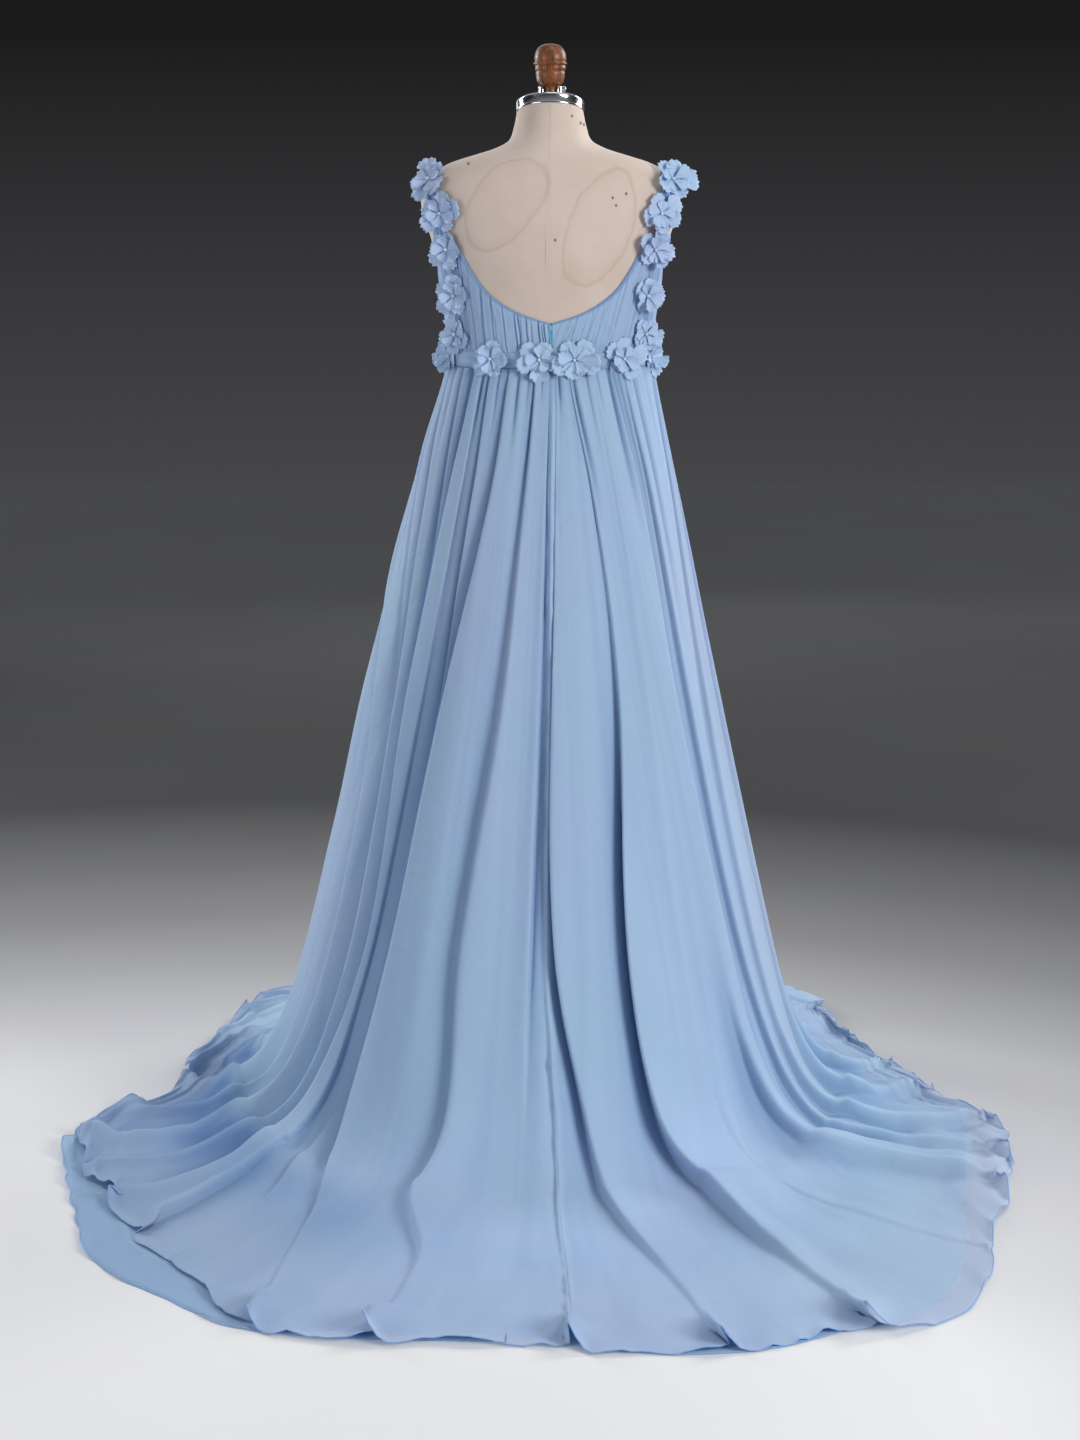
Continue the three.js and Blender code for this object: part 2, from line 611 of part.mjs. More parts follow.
// Where each flower is sewn on: a point on the cloth's outer face and the way the flower looks.
function flowerSeats() {
  const seats = [];
  for (const [hand, side] of [['left', 1], ['right', -1]]) {
    for (const { name, face, z } of STRAP_FLOWERS) {
      const seat = underStrap(side, face, z);
      const normal = formNormal(seat);
      seat.addScaledVector(normal, strapLift(seat) + CLOTH_WALL + FLOWER_GAP);
      seats.push({ name: `flower_${hand}_${name}`, at: seat, normal });
    }
  }
  const off = SKIN_GAP + BAND_WALL;
  for (const { name, phi } of BAND_FLOWERS) {
    const column = Math.floor(phi / FORM_STEP) * FORM_STEP;
    const edge = (angle) => [WAIST_Z, BAND_TOP_Z].map((z) => onBody(angle, z, off));
    const [low, high] = edge(column);
    const [nextLow, nextHigh] = edge(column + FORM_STEP);
    const across = nextLow.clone().add(nextHigh).sub(low).sub(high);
    const rise = high.clone().add(nextHigh).sub(low).sub(nextLow);
    const normal = new THREE.Vector3().crossVectors(across, rise).normalize();
    const seat = low.lerp(high, 0.62).addScaledVector(across, (phi - column) / FORM_STEP / 2);
    seats.push({ name: `flower_band_${name}`, at: seat.addScaledVector(normal, FLOWER_GAP), normal });
  }
  return seats;
}

// A five-petalled flower as one dished solid with the pearl at its heart.
function flower(radius) {
  const around = 2 * PETALS;
  const ring = (tip, dip, tipZ, dipZ) => Array.from({ length: around }, (_, i) => {
    const turn = (i * 2 * Math.PI) / around;
    const reach = i % 2 === 0 ? tip : dip;
    return new THREE.Vector3(reach * Math.cos(turn), reach * Math.sin(turn), i % 2 === 0 ? tipZ : dipZ);
  });
  const rise = 0.3 * radius;
  const pearl = 3;
  return loft([
    ring(4, 4, 0, 0),
    ring(radius, 0.78 * radius, rise, 0.8 * rise),
    ring(radius, 0.78 * radius, rise + LAYER_WALL, 0.8 * rise + LAYER_WALL),
    ring(pearl, pearl, 3, 3),
    [new THREE.Vector3(0, 0, 3 + pearl)],
  ]);
}

function buildFlowers() {
  const seats = flowerSeats();
  for (const seat of seats) {
    const gaps = seats.filter((other) => other !== seat).map((other) => other.at.distanceTo(seat.at));
    const radius = Math.min(FLOWER_RADIUS, Math.min(...gaps) / 2 - SEAM);
    const mesh = add(seat.name, flower(radius), 'petals');
    mesh.quaternion.setFromUnitVectors(new THREE.Vector3(0, 0, 1), seat.normal);
    mesh.position.copy(seat.at);
  }
}

// ---------------------------------------------------------------- skirt

const touchRadius = curve(FOOTPRINT, 'phi', 'touch');
const hemRadius = curve(FOOTPRINT, 'phi', 'hem');
const underHem = curve(FOOTPRINT, 'phi', 'under');
const fullness = curve(FULLNESS, 'v', 'mm');
const wrap = (phi) => phi - 360 * Math.round(phi / 360);

// How much of the fall is left at v: 1 where the cloth hangs, 0 where it lies.
const hanging = (v) => 1 - smooth(v, 0.84, 1.14);

// The skirt without folds: a point of its trough level, and the way out of the cloth there.
// The cloth falls straight from the band and turns softly onto the floor.
function fall(phi, v, hemExtra) {
  const turn = radians(phi);
  const lowest = LAYER_WALL + LAYER_GAP_HELD;
  const top = WAIST_Z - SEAM - lowest;
  const waist = onBody(phi, WAIST_Z, SKIN_GAP + LAYER_WALL + LAYER_GAP_HELD + 2).setZ(0).length();
  const touch = touchRadius(wrap(phi));
  const hem = hemRadius(wrap(phi)) + hemExtra;
  const lean = Math.atan2(touch - waist, top);
  const length = top / Math.cos(lean);
  const run = v < 1 ? v * length : length + (v - 1) * (hem - touch);
  const soften = (x) => FLOOR_BEND * Math.log(1 + Math.exp(x / FLOOR_BEND));
  const fallen = length - soften(length - run);
  const upright = 1 / (1 + Math.exp((run - length) / FLOOR_BEND));
  const held = smooth(run, 0, 60);
  const out = Math.cos(lean) * upright;
  const up = held * (Math.sin(lean) * upright + 1 - upright);
  const scale = Math.hypot(out, up);
  const reach = waist + Math.sin(lean) * fallen + (run - fallen);
  const height = top + lowest - Math.cos(lean) * fallen;
  const normal = new THREE.Vector3(-out * Math.sin(turn), out * Math.cos(turn), up).divideScalar(scale);
  const point = new THREE.Vector3(-reach * Math.sin(turn), reach * Math.cos(turn), height);
  const room = (fullness(v) - fullness(0)) * hanging(v);
  return { point: point.addScaledVector(normal, -room), normal, reach, run };
}

// The angle of fold k at v.
function foldAngle(k, v) {
  const turns = Math.floor(k / FOLDS.length);
  const fold = FOLDS[k - turns * FOLDS.length];
  const rows = Object.entries(FOLD_HEIGHTS).map(([key, at]) => ({ at, phi: fold[key] }));
  return curve(rows, 'at', 'phi')(v) + 360 * turns;
}

// How far the overlay stands off its trough level.
function foldHeight(phi, v, reach) {
  let trough = 0;
  let ridge = 0;
  FOLDS.forEach((fold, k) => {
    const away = Math.abs(radians(wrap(phi - foldAngle(k, v)))) * reach;
    const dip = Math.exp(-((away / fold.width) ** 2));
    trough += dip * fold.depth * (1 - smooth(v, fold.ends - 0.15, fold.ends + 0.15));
    ridge += dip * fold.ridge * smooth(v, 0.95, 1.15) * (1 - 0.6 * smooth(v, 1.4, 2));
  });
  return fullness(v) * hanging(v) * (1 - Math.min(trough, 1)) + ridge;
}

// Columns of the overlay between two folds: one on each fold, and evenly placed ones between.
function overlayColumns(first, last) {
  const columns = [];
  for (let k = first; k < last; k += 1) {
    const steps = Math.max(2, Math.round((foldAngle(k + 1, 1) - foldAngle(k, 1)) / 4.4));
    for (let i = 0; i < steps; i += 1) columns.push({ k, share: i / steps });
  }
  columns.push({ k: last - 1, share: 1 });
  return columns;
}

function overlayPanel(first, last) {
  const columns = overlayColumns(first, last);
  const grid = (off) => columns.map(({ k, share }, i) => SKIRT_ROWS.map((v) => {
    const spot = THREE.MathUtils.lerp(foldAngle(k, v), foldAngle(k + 1, v), share);
    const reach = fall(spot, v, 0).reach;
    const edge = (i === 0) - (i === columns.length - 1);
    const phi = spot + THREE.MathUtils.radToDeg((edge * SEAM) / 2 / reach);
    const { point, normal } = fall(phi, v, 0);
    return point.addScaledVector(normal, foldHeight(phi, v, reach) + off);
  }));
  return wall(grid(0), grid(LAYER_WALL));
}

function underPanel(from, to) {
  const angles = panelAngles(from, to);
  const grid = (off) => angles.map((phi, i) => SKIRT_ROWS.map((v) => {
    const reach = fall(phi, v, 0).reach;
    const edge = (i === 0) - (i === angles.length - 1);
    const spot = phi + THREE.MathUtils.radToDeg((edge * SEAM) / 2 / reach);
    const { point, normal, run } = fall(spot, v, underHem(wrap(spot)));
    const offFloor = LAYER_GAP_HELD + 0.25 * Math.max(point.z - LAYER_WALL - LAYER_GAP_HELD, 0);
    const offBand = LAYER_GAP_HELD + 0.04 * run;
    const loose = Math.min(LAYER_GAP_FREE, offFloor, offBand);
    return point.addScaledVector(normal, -loose - off);
  }));
  return wall(grid(LAYER_WALL), grid(0));
}

function buildSkirt() {
  add('skirt_over_back_left', overlayPanel(LEFT_SIDE_SEAM, CENTRE_SEAM), 'chiffon');
  add('skirt_over_back_right', overlayPanel(CENTRE_SEAM, RIGHT_SIDE_SEAM), 'chiffon');
  add('skirt_over_front', overlayPanel(RIGHT_SIDE_SEAM, LEFT_SIDE_SEAM + FOLDS.length), 'chiffon');
  add('skirt_under_back_left', underPanel(-90, 0), 'underlayer');
  add('skirt_under_back_right', underPanel(0, 90), 'underlayer');
  add('skirt_under_front', underPanel(90, 270), 'underlayer');
}

buildForm();
buildStand();
buildBodice();
buildStrap('strap_left', 1);
buildStrap('strap_right', -1);
buildFlowers();
buildSkirt();

export default dress;
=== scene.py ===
"""Blue chiffon maternity dress with a train, on a limbless canvas dress form: the visual model.

Sizes are in millimetres and become metres in the last step of each mesh. +Z is up and the
origin is under the middle of the stand. The front faces -Y, the train runs towards +Y and the
wearer's left is +X. Angles round the body, in degrees, are 0 at the centre back and positive
towards -X. Down the skirt v is 0 at the band, 1 where the cloth reaches the floor and 2 at the hem.
"""
import logging
import math
import random
from dataclasses import dataclass
from enum import Enum
from typing import Callable, NamedTuple, Sequence

import bmesh
import bpy
import numpy as np
from bpy.types import ColorRamp, Material, Node, NodeSocket, NodeTree, Object
from mathutils import Matrix, Vector
from numpy import ndarray


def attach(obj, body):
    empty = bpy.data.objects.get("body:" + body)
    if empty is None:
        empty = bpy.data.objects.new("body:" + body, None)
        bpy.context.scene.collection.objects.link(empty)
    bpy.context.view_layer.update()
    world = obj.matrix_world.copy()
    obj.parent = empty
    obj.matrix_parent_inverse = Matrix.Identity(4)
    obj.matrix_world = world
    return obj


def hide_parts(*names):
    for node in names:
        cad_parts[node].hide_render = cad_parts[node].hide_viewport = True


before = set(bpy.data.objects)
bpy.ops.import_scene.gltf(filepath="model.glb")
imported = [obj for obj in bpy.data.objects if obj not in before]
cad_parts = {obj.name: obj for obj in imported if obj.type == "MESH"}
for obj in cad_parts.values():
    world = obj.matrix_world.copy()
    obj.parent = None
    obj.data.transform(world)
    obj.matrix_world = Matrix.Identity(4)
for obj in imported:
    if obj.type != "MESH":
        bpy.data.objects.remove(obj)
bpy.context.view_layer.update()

BODY = "root"
MM = 0.001

log = logging.getLogger("dress")

# ---------------------------------------------------------------- sizes shared with the solid model

SEAM = 0.3  # between neighbouring solids
WAIST_Z = 1147.0  # lower edge of the band under the bust
BAND_TOP_Z = 1172.0
BAND_WALL = 2.2
SKIN_GAP = 1.2  # between the form and the cloth on it
BUST_GAP = 2.4  # the same under the front of the bodice
CLOTH_WALL = 1.5  # of the bodice and the straps
LAYER_WALL = 1.2  # of one layer of the skirt
LAYER_GAP_HELD = 0.4  # between the skirt's layers where they are held or lie
LAYER_GAP_FREE = 2.0  # between them where they hang
FLOOR_BEND = 55.0  # length over which the skirt bends onto the floor
ZIP_EDGE = 2.4  # from the middle to the bodice's edge beside the zip
STRAP_WIDTH = 27.0
CAP_TILT = 15.0  # degrees
CAP_BOTTOM_Z = 1522.0
CAP_HEIGHT = 17.0
COLLAR_TOP_Z = 1547.5
COLLAR_RADIUS = 18.0
CHEEK_HEIGHT = 14.0
SIDE_SEAM = 92.0  # degrees, where the bodice's back meets its front


class Face(Enum):
    """The back or the front of the body."""

    BACK = "back"
    FRONT = "front"


class Side(Enum):
    """One of the wearer's sides, by the sign of X there."""

    LEFT = 1
    RIGHT = -1


class Section(NamedTuple):
    """A level section of the dress form: half width, depths, roundness and slope in degrees."""

    z: float
    width: float
    back: float
    front: float
    round: float
    tilt: float


FORM_SECTIONS = (
    Section(780, 168, 114, 108, 2.2, 0),
    Section(860, 178, 122, 112, 2.2, 0),
    Section(950, 150, 102, 102, 2.2, 0),
    Section(1030, 126, 86, 92, 2.15, 0),
    Section(1090, 138, 91, 98, 2.15, 0),
    Section(1147, 150, 99, 106, 2.2, 0),
    Section(1172, 150.6, 101, 112.6, 2.2, 0),
    Section(1245, 159, 104, 134, 2.2, 0),
    Section(1305, 171, 104, 124, 2.2, 0),
    Section(1350, 184, 99, 100, 2.25, 0),
    Section(1380, 194, 93, 84, 2.3, 0),
    Section(1405, 194, 87, 73, 2.3, 0),
    Section(1423, 186, 82, 66, 2.25, 0),
    Section(1436, 173, 78, 61, 2.2, 0),
    Section(1449, 149, 75, 58, 2.1, 0),
    Section(1460, 114, 72, 57, 2.05, 0),
    Section(1469, 85, 69, 56, 2, 0),
    Section(1480, 63, 63, 54, 2, 5),
    Section(1498, 55, 56, 51, 2, 12),
    Section(1521.7, 50, 50, 50, 2, 15),
)

# Upper edge of the bodice: angle round the body, height.
BODICE_TOP = (
    (0, 1214), (12, 1220), (26, 1230), (39, 1246), (48, 1264), (55, 1289), (61, 1316), (67, 1326),
    (73, 1324), (79, 1308), (85, 1292), (92, 1284), (102, 1290), (113, 1312), (124, 1332),
    (133, 1334), (145, 1304), (160, 1274), (180, 1260),
)

# Middle line of a strap: height, distance from the middle of the body.
STRAP_LINES = {
    Face.BACK: ((1173, 141), (1246, 146), (1311, 157), (1366, 168), (1412, 178)),
    Face.FRONT: ((1173, 131), (1240, 137), (1300, 146), (1360, 160), (1412, 175)),
}
STRAP_FLOWERS = {  # heights
    Face.BACK: (1197, 1254, 1322, 1374, 1421),
    Face.FRONT: (1212, 1268, 1324, 1376),
}
BAND_FLOWERS = {  # degrees round the body
    Face.BACK: (-79, -45, -9, 19, 54, 80),
    Face.FRONT: (106, 133, 164, -164, -133, -106),
}


class Reach(NamedTuple):
    """Plan of the skirt at one angle, as distances from the axis.

    Attributes:
        phi: the angle, in degrees.
        touch: where the cloth reaches the floor.
        hem: the overlay's hem.
        under: how far the under layer's hem lies outside the overlay's.
    """

    phi: float
    touch: float
    hem: float
    under: float


FOOTPRINT = (
    Reach(-180, 430, 545, -8),
    Reach(-150, 430, 630, -10),
    Reach(-125, 430, 640, -8),
    Reach(-105, 432, 578, -8),
    Reach(-95, 436, 585, -6),
    Reach(-85, 444, 598, 0),
    Reach(-80, 450, 642, 6),
    Reach(-75, 456, 728, 10),
    Reach(-60, 480, 790, 30),
    Reach(-50, 500, 808, 58),
    Reach(-40, 520, 872, 76),
    Reach(-30, 534, 928, 64),
    Reach(-25, 538, 988, 30),
    Reach(-18, 540, 1024, -14),
    Reach(-9, 540, 1000, -14),
    Reach(0, 540, 996, -14),
    Reach(8, 540, 1028, -4),
    Reach(15, 540, 1031, 3),
    Reach(22, 538, 1024, -10),
    Reach(27, 534, 1044, -30),
    Reach(32, 530, 1016, -45),
    Reach(40, 515, 930, -58),
    Reach(50, 492, 838, -66),
    Reach(60, 466, 787, -70),
    Reach(75, 424, 702, -50),
    Reach(80, 414, 630, -32),
    Reach(90, 402, 590, -15),
    Reach(103, 398, 540, -10),
    Reach(122, 412, 575, -8),
    Reach(145, 430, 650, -10),
    Reach(180, 430, 545, -8),
)

# Room between the overlay's troughs and crests down the skirt.
FULLNESS = ((0, 3), (0.03, 6), (0.1, 12), (0.3, 22), (0.55, 29), (0.8, 34), (1, 30), (2, 0))

FOLD_HEIGHTS = (0.02, 0.15, 0.4, 0.7, 0.9, 1.05, 1.4, 2.0)


class Fold(NamedTuple):
    """One fold of the overlay. Its lit edge stands over a trough on its left, towards -phi.

    Attributes:
        name: the fold's name, for the panels that end on it.
        turns: angle of the lit edge at each of FOLD_HEIGHTS, in degrees.
        depth: the trough's depth as a share of the fullness, where the cloth hangs.
        since, until: the stretch of v over which the trough is there.
        width: how far the trough spreads to the left, in mm.
        ridge: height of the ridge that the fold leaves on the floor, in mm.
        lean: how far the lit edge hangs over the trough, in mm.
        hem: height of the curl at the hem, in mm.
        soft: how many times wider than usual the step is where the cloth hangs.
        flip: whether the trough lies on the right of the edge instead.
        faint: share of the depth that it has above since.
    """

    name: str
    turns: tuple[float, ...]
    depth: float
    since: float
    until: float
    width: float
    ridge: float
    lean: float
    hem: float
    soft: float = 1.0
    flip: bool = False
    faint: float = 0.3


FOLDS = (Fold("front_1", (-173, -174, -175, -175, -176, -176, -177, -177), 0.7, 0, 1.1, 34, 7, 3,
              5), Fold("front_2", (-160, -160, -159, -159, -160, -160, -160, -161), 0.9, 0, 1.1, 40,
                       12, 6, 9),
         Fold("front_3", (-149, -145, -141, -139, -139, -139, -140, -141), 0.6, 0, 1.1, 36, 8, 4,
              6), Fold("front_4", (-138, -132, -124, -120, -118, -118, -119, -121), 0.85, 0, 1.1,
                       42, 14, 7, 12),
         Fold("front_5", (-128, -120, -107, -101, -100, -100, -102, -105), 0.5, 0, 0.8, 36, 8, 4,
              8), Fold("left_side", (-118, -112, -90, -76, -76, -79, -82, -87), 0.75, 0, 1.7, 30,
                       34, 15, 16),
         Fold("left_0", (-111, -105, -78, -65, -66, -70, -72.5, -78), 0.5, 0, 1.6, 20, 32, 15, 14),
         Fold("left_1", (-104, -98, -66, -52.8, -55.5, -60.5, -62.5, -68), 0.9, 0, 1.8, 32, 38, 18,
              18), Fold("left_2", (-76, -68, -55, -46.5, -49.5, -54, -56, -57.5), 0.45, 0, 1.5, 18,
                        26, 12, 12),
         Fold("left_3", (-54, -52, -45.5, -40, -43.5, -47.5, -47.5, -48), 0.85, 0, 1.7, 24, 36, 17,
              16), Fold("left_6", (-49, -46, -41, -38.5, -41, -44, -43.5, -42), 0.9, 0.95, 1.9, 15,
                        24, 13, 12, soft=0.5, flip=True),
         Fold("left_4", (-43, -38.5, -35.7, -36.4, -38.4, -40, -37, -34), 0.6, 0, 0.72, 14, 8, 4,
              6), Fold("left_5", (-29.3, -27.6, -31, -32.4, -34.4, -33.2, -28, -21.5), 1, 0, 1.1,
                       26, 10, 11, 27),
         Fold("train_1", (-10, -11.3, -12.5, -17, -15.8, -18, -13.3, -12.4), 0.45, 0, 1.1, 24, 20,
              13, 29, soft=2.0),
         Fold("centre", (-0.6, -1.8, -2.4, -3.7, -4.0, -3.8, -3.8, -3.6), 0.4, 0, 0.82, 9, 0, 4, 0,
              soft=0.8, flip=True),
         Fold("seam", (1.8, 0.6, 0.2, -0.4, 1.0, 1.4, 1.5, 1.6), 0.12, 0.05, 1.0, 8, 2, 5, 32),
         Fold("train_2", (5.4, 3.4, 1.6, 2.0, 6.7, 8.8, 11.4, 13), 0.7, 0.42, 1.1, 16, 18, 13, 29),
         Fold("train_3", (16.5, 22, 23, 18.5, 19.5, 23.6, 24.2, 24.6), 0.95, 0.45, 1.1, 30, 34, 22,
              34), Fold("right_1", (33, 33, 31, 28, 30, 33, 37, 41), 0.16, 0.02, 0.7, 26, 4, 0, 5,
                        soft=2.0),
         Fold("right_6", (41, 41, 36.5, 36.5, 40, 45.5, 50.5, 55.5), 0.9, 0.86, 1.3, 26, 36, 18, 9,
              faint=0),
         Fold("right_2", (44.5, 45, 40, 39, 42, 48, 54, 59), 0.75, 0, 1.5, 24, 32, 16, 12, soft=0.7,
              flip=True),
         Fold("right_3", (54, 54, 49, 46, 49, 54.5, 60, 65), 0.35, 0, 1.5, 9, 22, 11, 9),
         Fold("right_4", (78, 74, 59, 53, 55, 62, 66, 73), 0.26, 0, 1.6, 15, 32, 15, 12),
         Fold("right_5", (95, 90, 76, 69, 69, 73, 78, 84), 0.32, 0, 1.6, 18, 30, 14, 12, soft=1.4),
         Fold("right_side", (107, 101, 91, 87, 87, 90, 92, 97), 0.5, 0, 1.6, 26, 26, 12, 12),
         Fold("front_6", (120, 113, 106, 105, 106, 107, 108, 110), 0.5, 0, 0.85, 34, 8, 4, 7),
         Fold("front_7", (134, 128, 123, 122, 123, 124, 125, 126), 0.9, 0, 1.1, 42, 13, 7, 12),
         Fold("front_8", (147, 143, 140, 139, 140, 141, 142, 143), 0.6, 0, 1.1, 34, 9, 4, 7),
         Fold("front_9", (161, 159, 157, 157, 158, 158, 159, 159), 0.8, 0, 1.1, 40, 11, 5, 9),)
FOLD_NUMBERS = {fold.name: number for number, fold in enumerate(FOLDS)}

# Angle from the centre back up to which the train runs, and from which its sides lie in rolls.
TRAIN_TO, SIDES_FROM = 36, 58

# Stretches of v down the skirt with the points in each: gathers, fall, bend, train and hem.
ROW_BANDS = ((0, 0.06, 10), (0.06, 0.84, 50), (0.84, 1.15, 28), (1.15, 1.9, 36), (1.9, 2.0, 9))


class Gather(NamedTuple):
    """A small gather under the band: its angle, depth in mm and how far down it runs, as v."""

    phi: float
    depth: float
    until: float


GATHERS = (
    Gather(-83, 3.0, 0.12), Gather(-76, 5.5, 0.22), Gather(-70, 3.0, 0.08),
    Gather(-64, 6.0, 0.30), Gather(-57.5, 5.0, 0.13), Gather(-54, 4.5, 0.26),
    Gather(-48.5, 6.0, 0.06), Gather(-44.5, 4.5, 0.34), Gather(-38, 3.0, 0.05),
    Gather(-31, 6.5, 0.14), Gather(-23.5, 5.0, 0.07), Gather(-17, 2.2, 0.04),
    Gather(-12, 5.5, 0.16), Gather(-6, 2.2, 0.03), Gather(7, 5.0, 0.04),
    Gather(18.5, 6.0, 0.12), Gather(27, 2.4, 0.07), Gather(34.5, 2.0, 0.04),
    Gather(41.5, 5.0, 0.13), Gather(49.5, 3.5, 0.18), Gather(59.5, 4.0, 0.24),
    Gather(68.5, 2.4, 0.09), Gather(79, 4.0, 0.13), Gather(88, 3.0, 0.08),
)

# ---------------------------------------------------------------- number helpers


def smooth(x: ndarray, low: float, high: float) -> ndarray:
    """Rise smoothly from 0 at low to 1 at high."""
    t = np.clip((np.asarray(x, float) - low) / (high - low), 0, 1)
    return t * t * (3 - 2 * t)


def curve(xs: Sequence[float], ys: Sequence[float]) -> Callable[[ndarray], ndarray]:
    """Make a smooth curve through a table.

    Args:
        xs: rising places.
        ys: the value at each place.

    Returns:
        A function that gives the values at an array of places, level outside the table.
    """
    xs = np.asarray(xs, float)
    ys = np.asarray(ys, float)
    before = np.maximum(np.arange(len(xs)) - 1, 0)
    after = np.minimum(np.arange(len(xs)) + 1, len(xs) - 1)
    slopes = (ys[after] - ys[before]) / (xs[after] - xs[before])

    def at(x: ndarray) -> ndarray:
        """Give the curve's values.

        Args:
            x: the places.

        Returns:
            The value at each place.
        """
        x = np.clip(np.asarray(x, float), xs[0], xs[-1])
        i = np.clip(np.searchsorted(xs, x, side="right") - 1, 0, len(xs) - 2)
        span = xs[i + 1] - xs[i]
        t = (x - xs[i]) / span
        bend = t * t * (3 - 2 * t)
        start = t * (1 - t) ** 2 * span * slopes[i]
        end = t * t * (t - 1) * span * slopes[i + 1]
        return ys[i] * (1 - bend) + ys[i + 1] * bend + start + end

    return at


def ripple(x: ndarray, y: ndarray, seed: int) -> ndarray:
    """Make smooth seeded noise over a plane, about one swell to each unit.

    Args:
        x: places along the plane.
        y: places across it.
        seed: for the noise.

    Returns:
        Values from -1 to 1.
    """
    size = 64
    lattice = np.random.default_rng(seed).uniform(-1, 1, (size, size))
    x, y = np.broadcast_arrays(np.asarray(x, float), np.asarray(y, float))
    left, low = np.floor(x).astype(int), np.floor(y).astype(int)
    tx, ty = smooth(x - left, 0, 1), smooth(y - low, 0, 1)
    corner = [[lattice[(left + i) % size, (low + j) % size] for j in (0, 1)] for i in (0, 1)]
    bottom = corner[0][0] * (1 - tx) + corner[1][0] * tx
    top = corner[0][1] * (1 - tx) + corner[1][1] * tx
    return bottom * (1 - ty) + top * ty


def unit(vectors: ndarray) -> ndarray:
    """Scale vectors to length 1."""
    return vectors / np.maximum(np.linalg.norm(vectors, axis=-1, keepdims=True), 1e-9)


def across_and_down(grid: ndarray) -> ndarray:
    """Give the unit normals of a grid whose columns run towards -X and whose rows run down."""
    return unit(np.cross(np.gradient(grid, axis=1), np.gradient(grid, axis=0)))


def from_back(phi: ndarray) -> ndarray:
    """Bring angles round the body between -180 and 180 degrees."""
    return (phi + 180) % 360 - 180


# ---------------------------------------------------------------- mesh helper


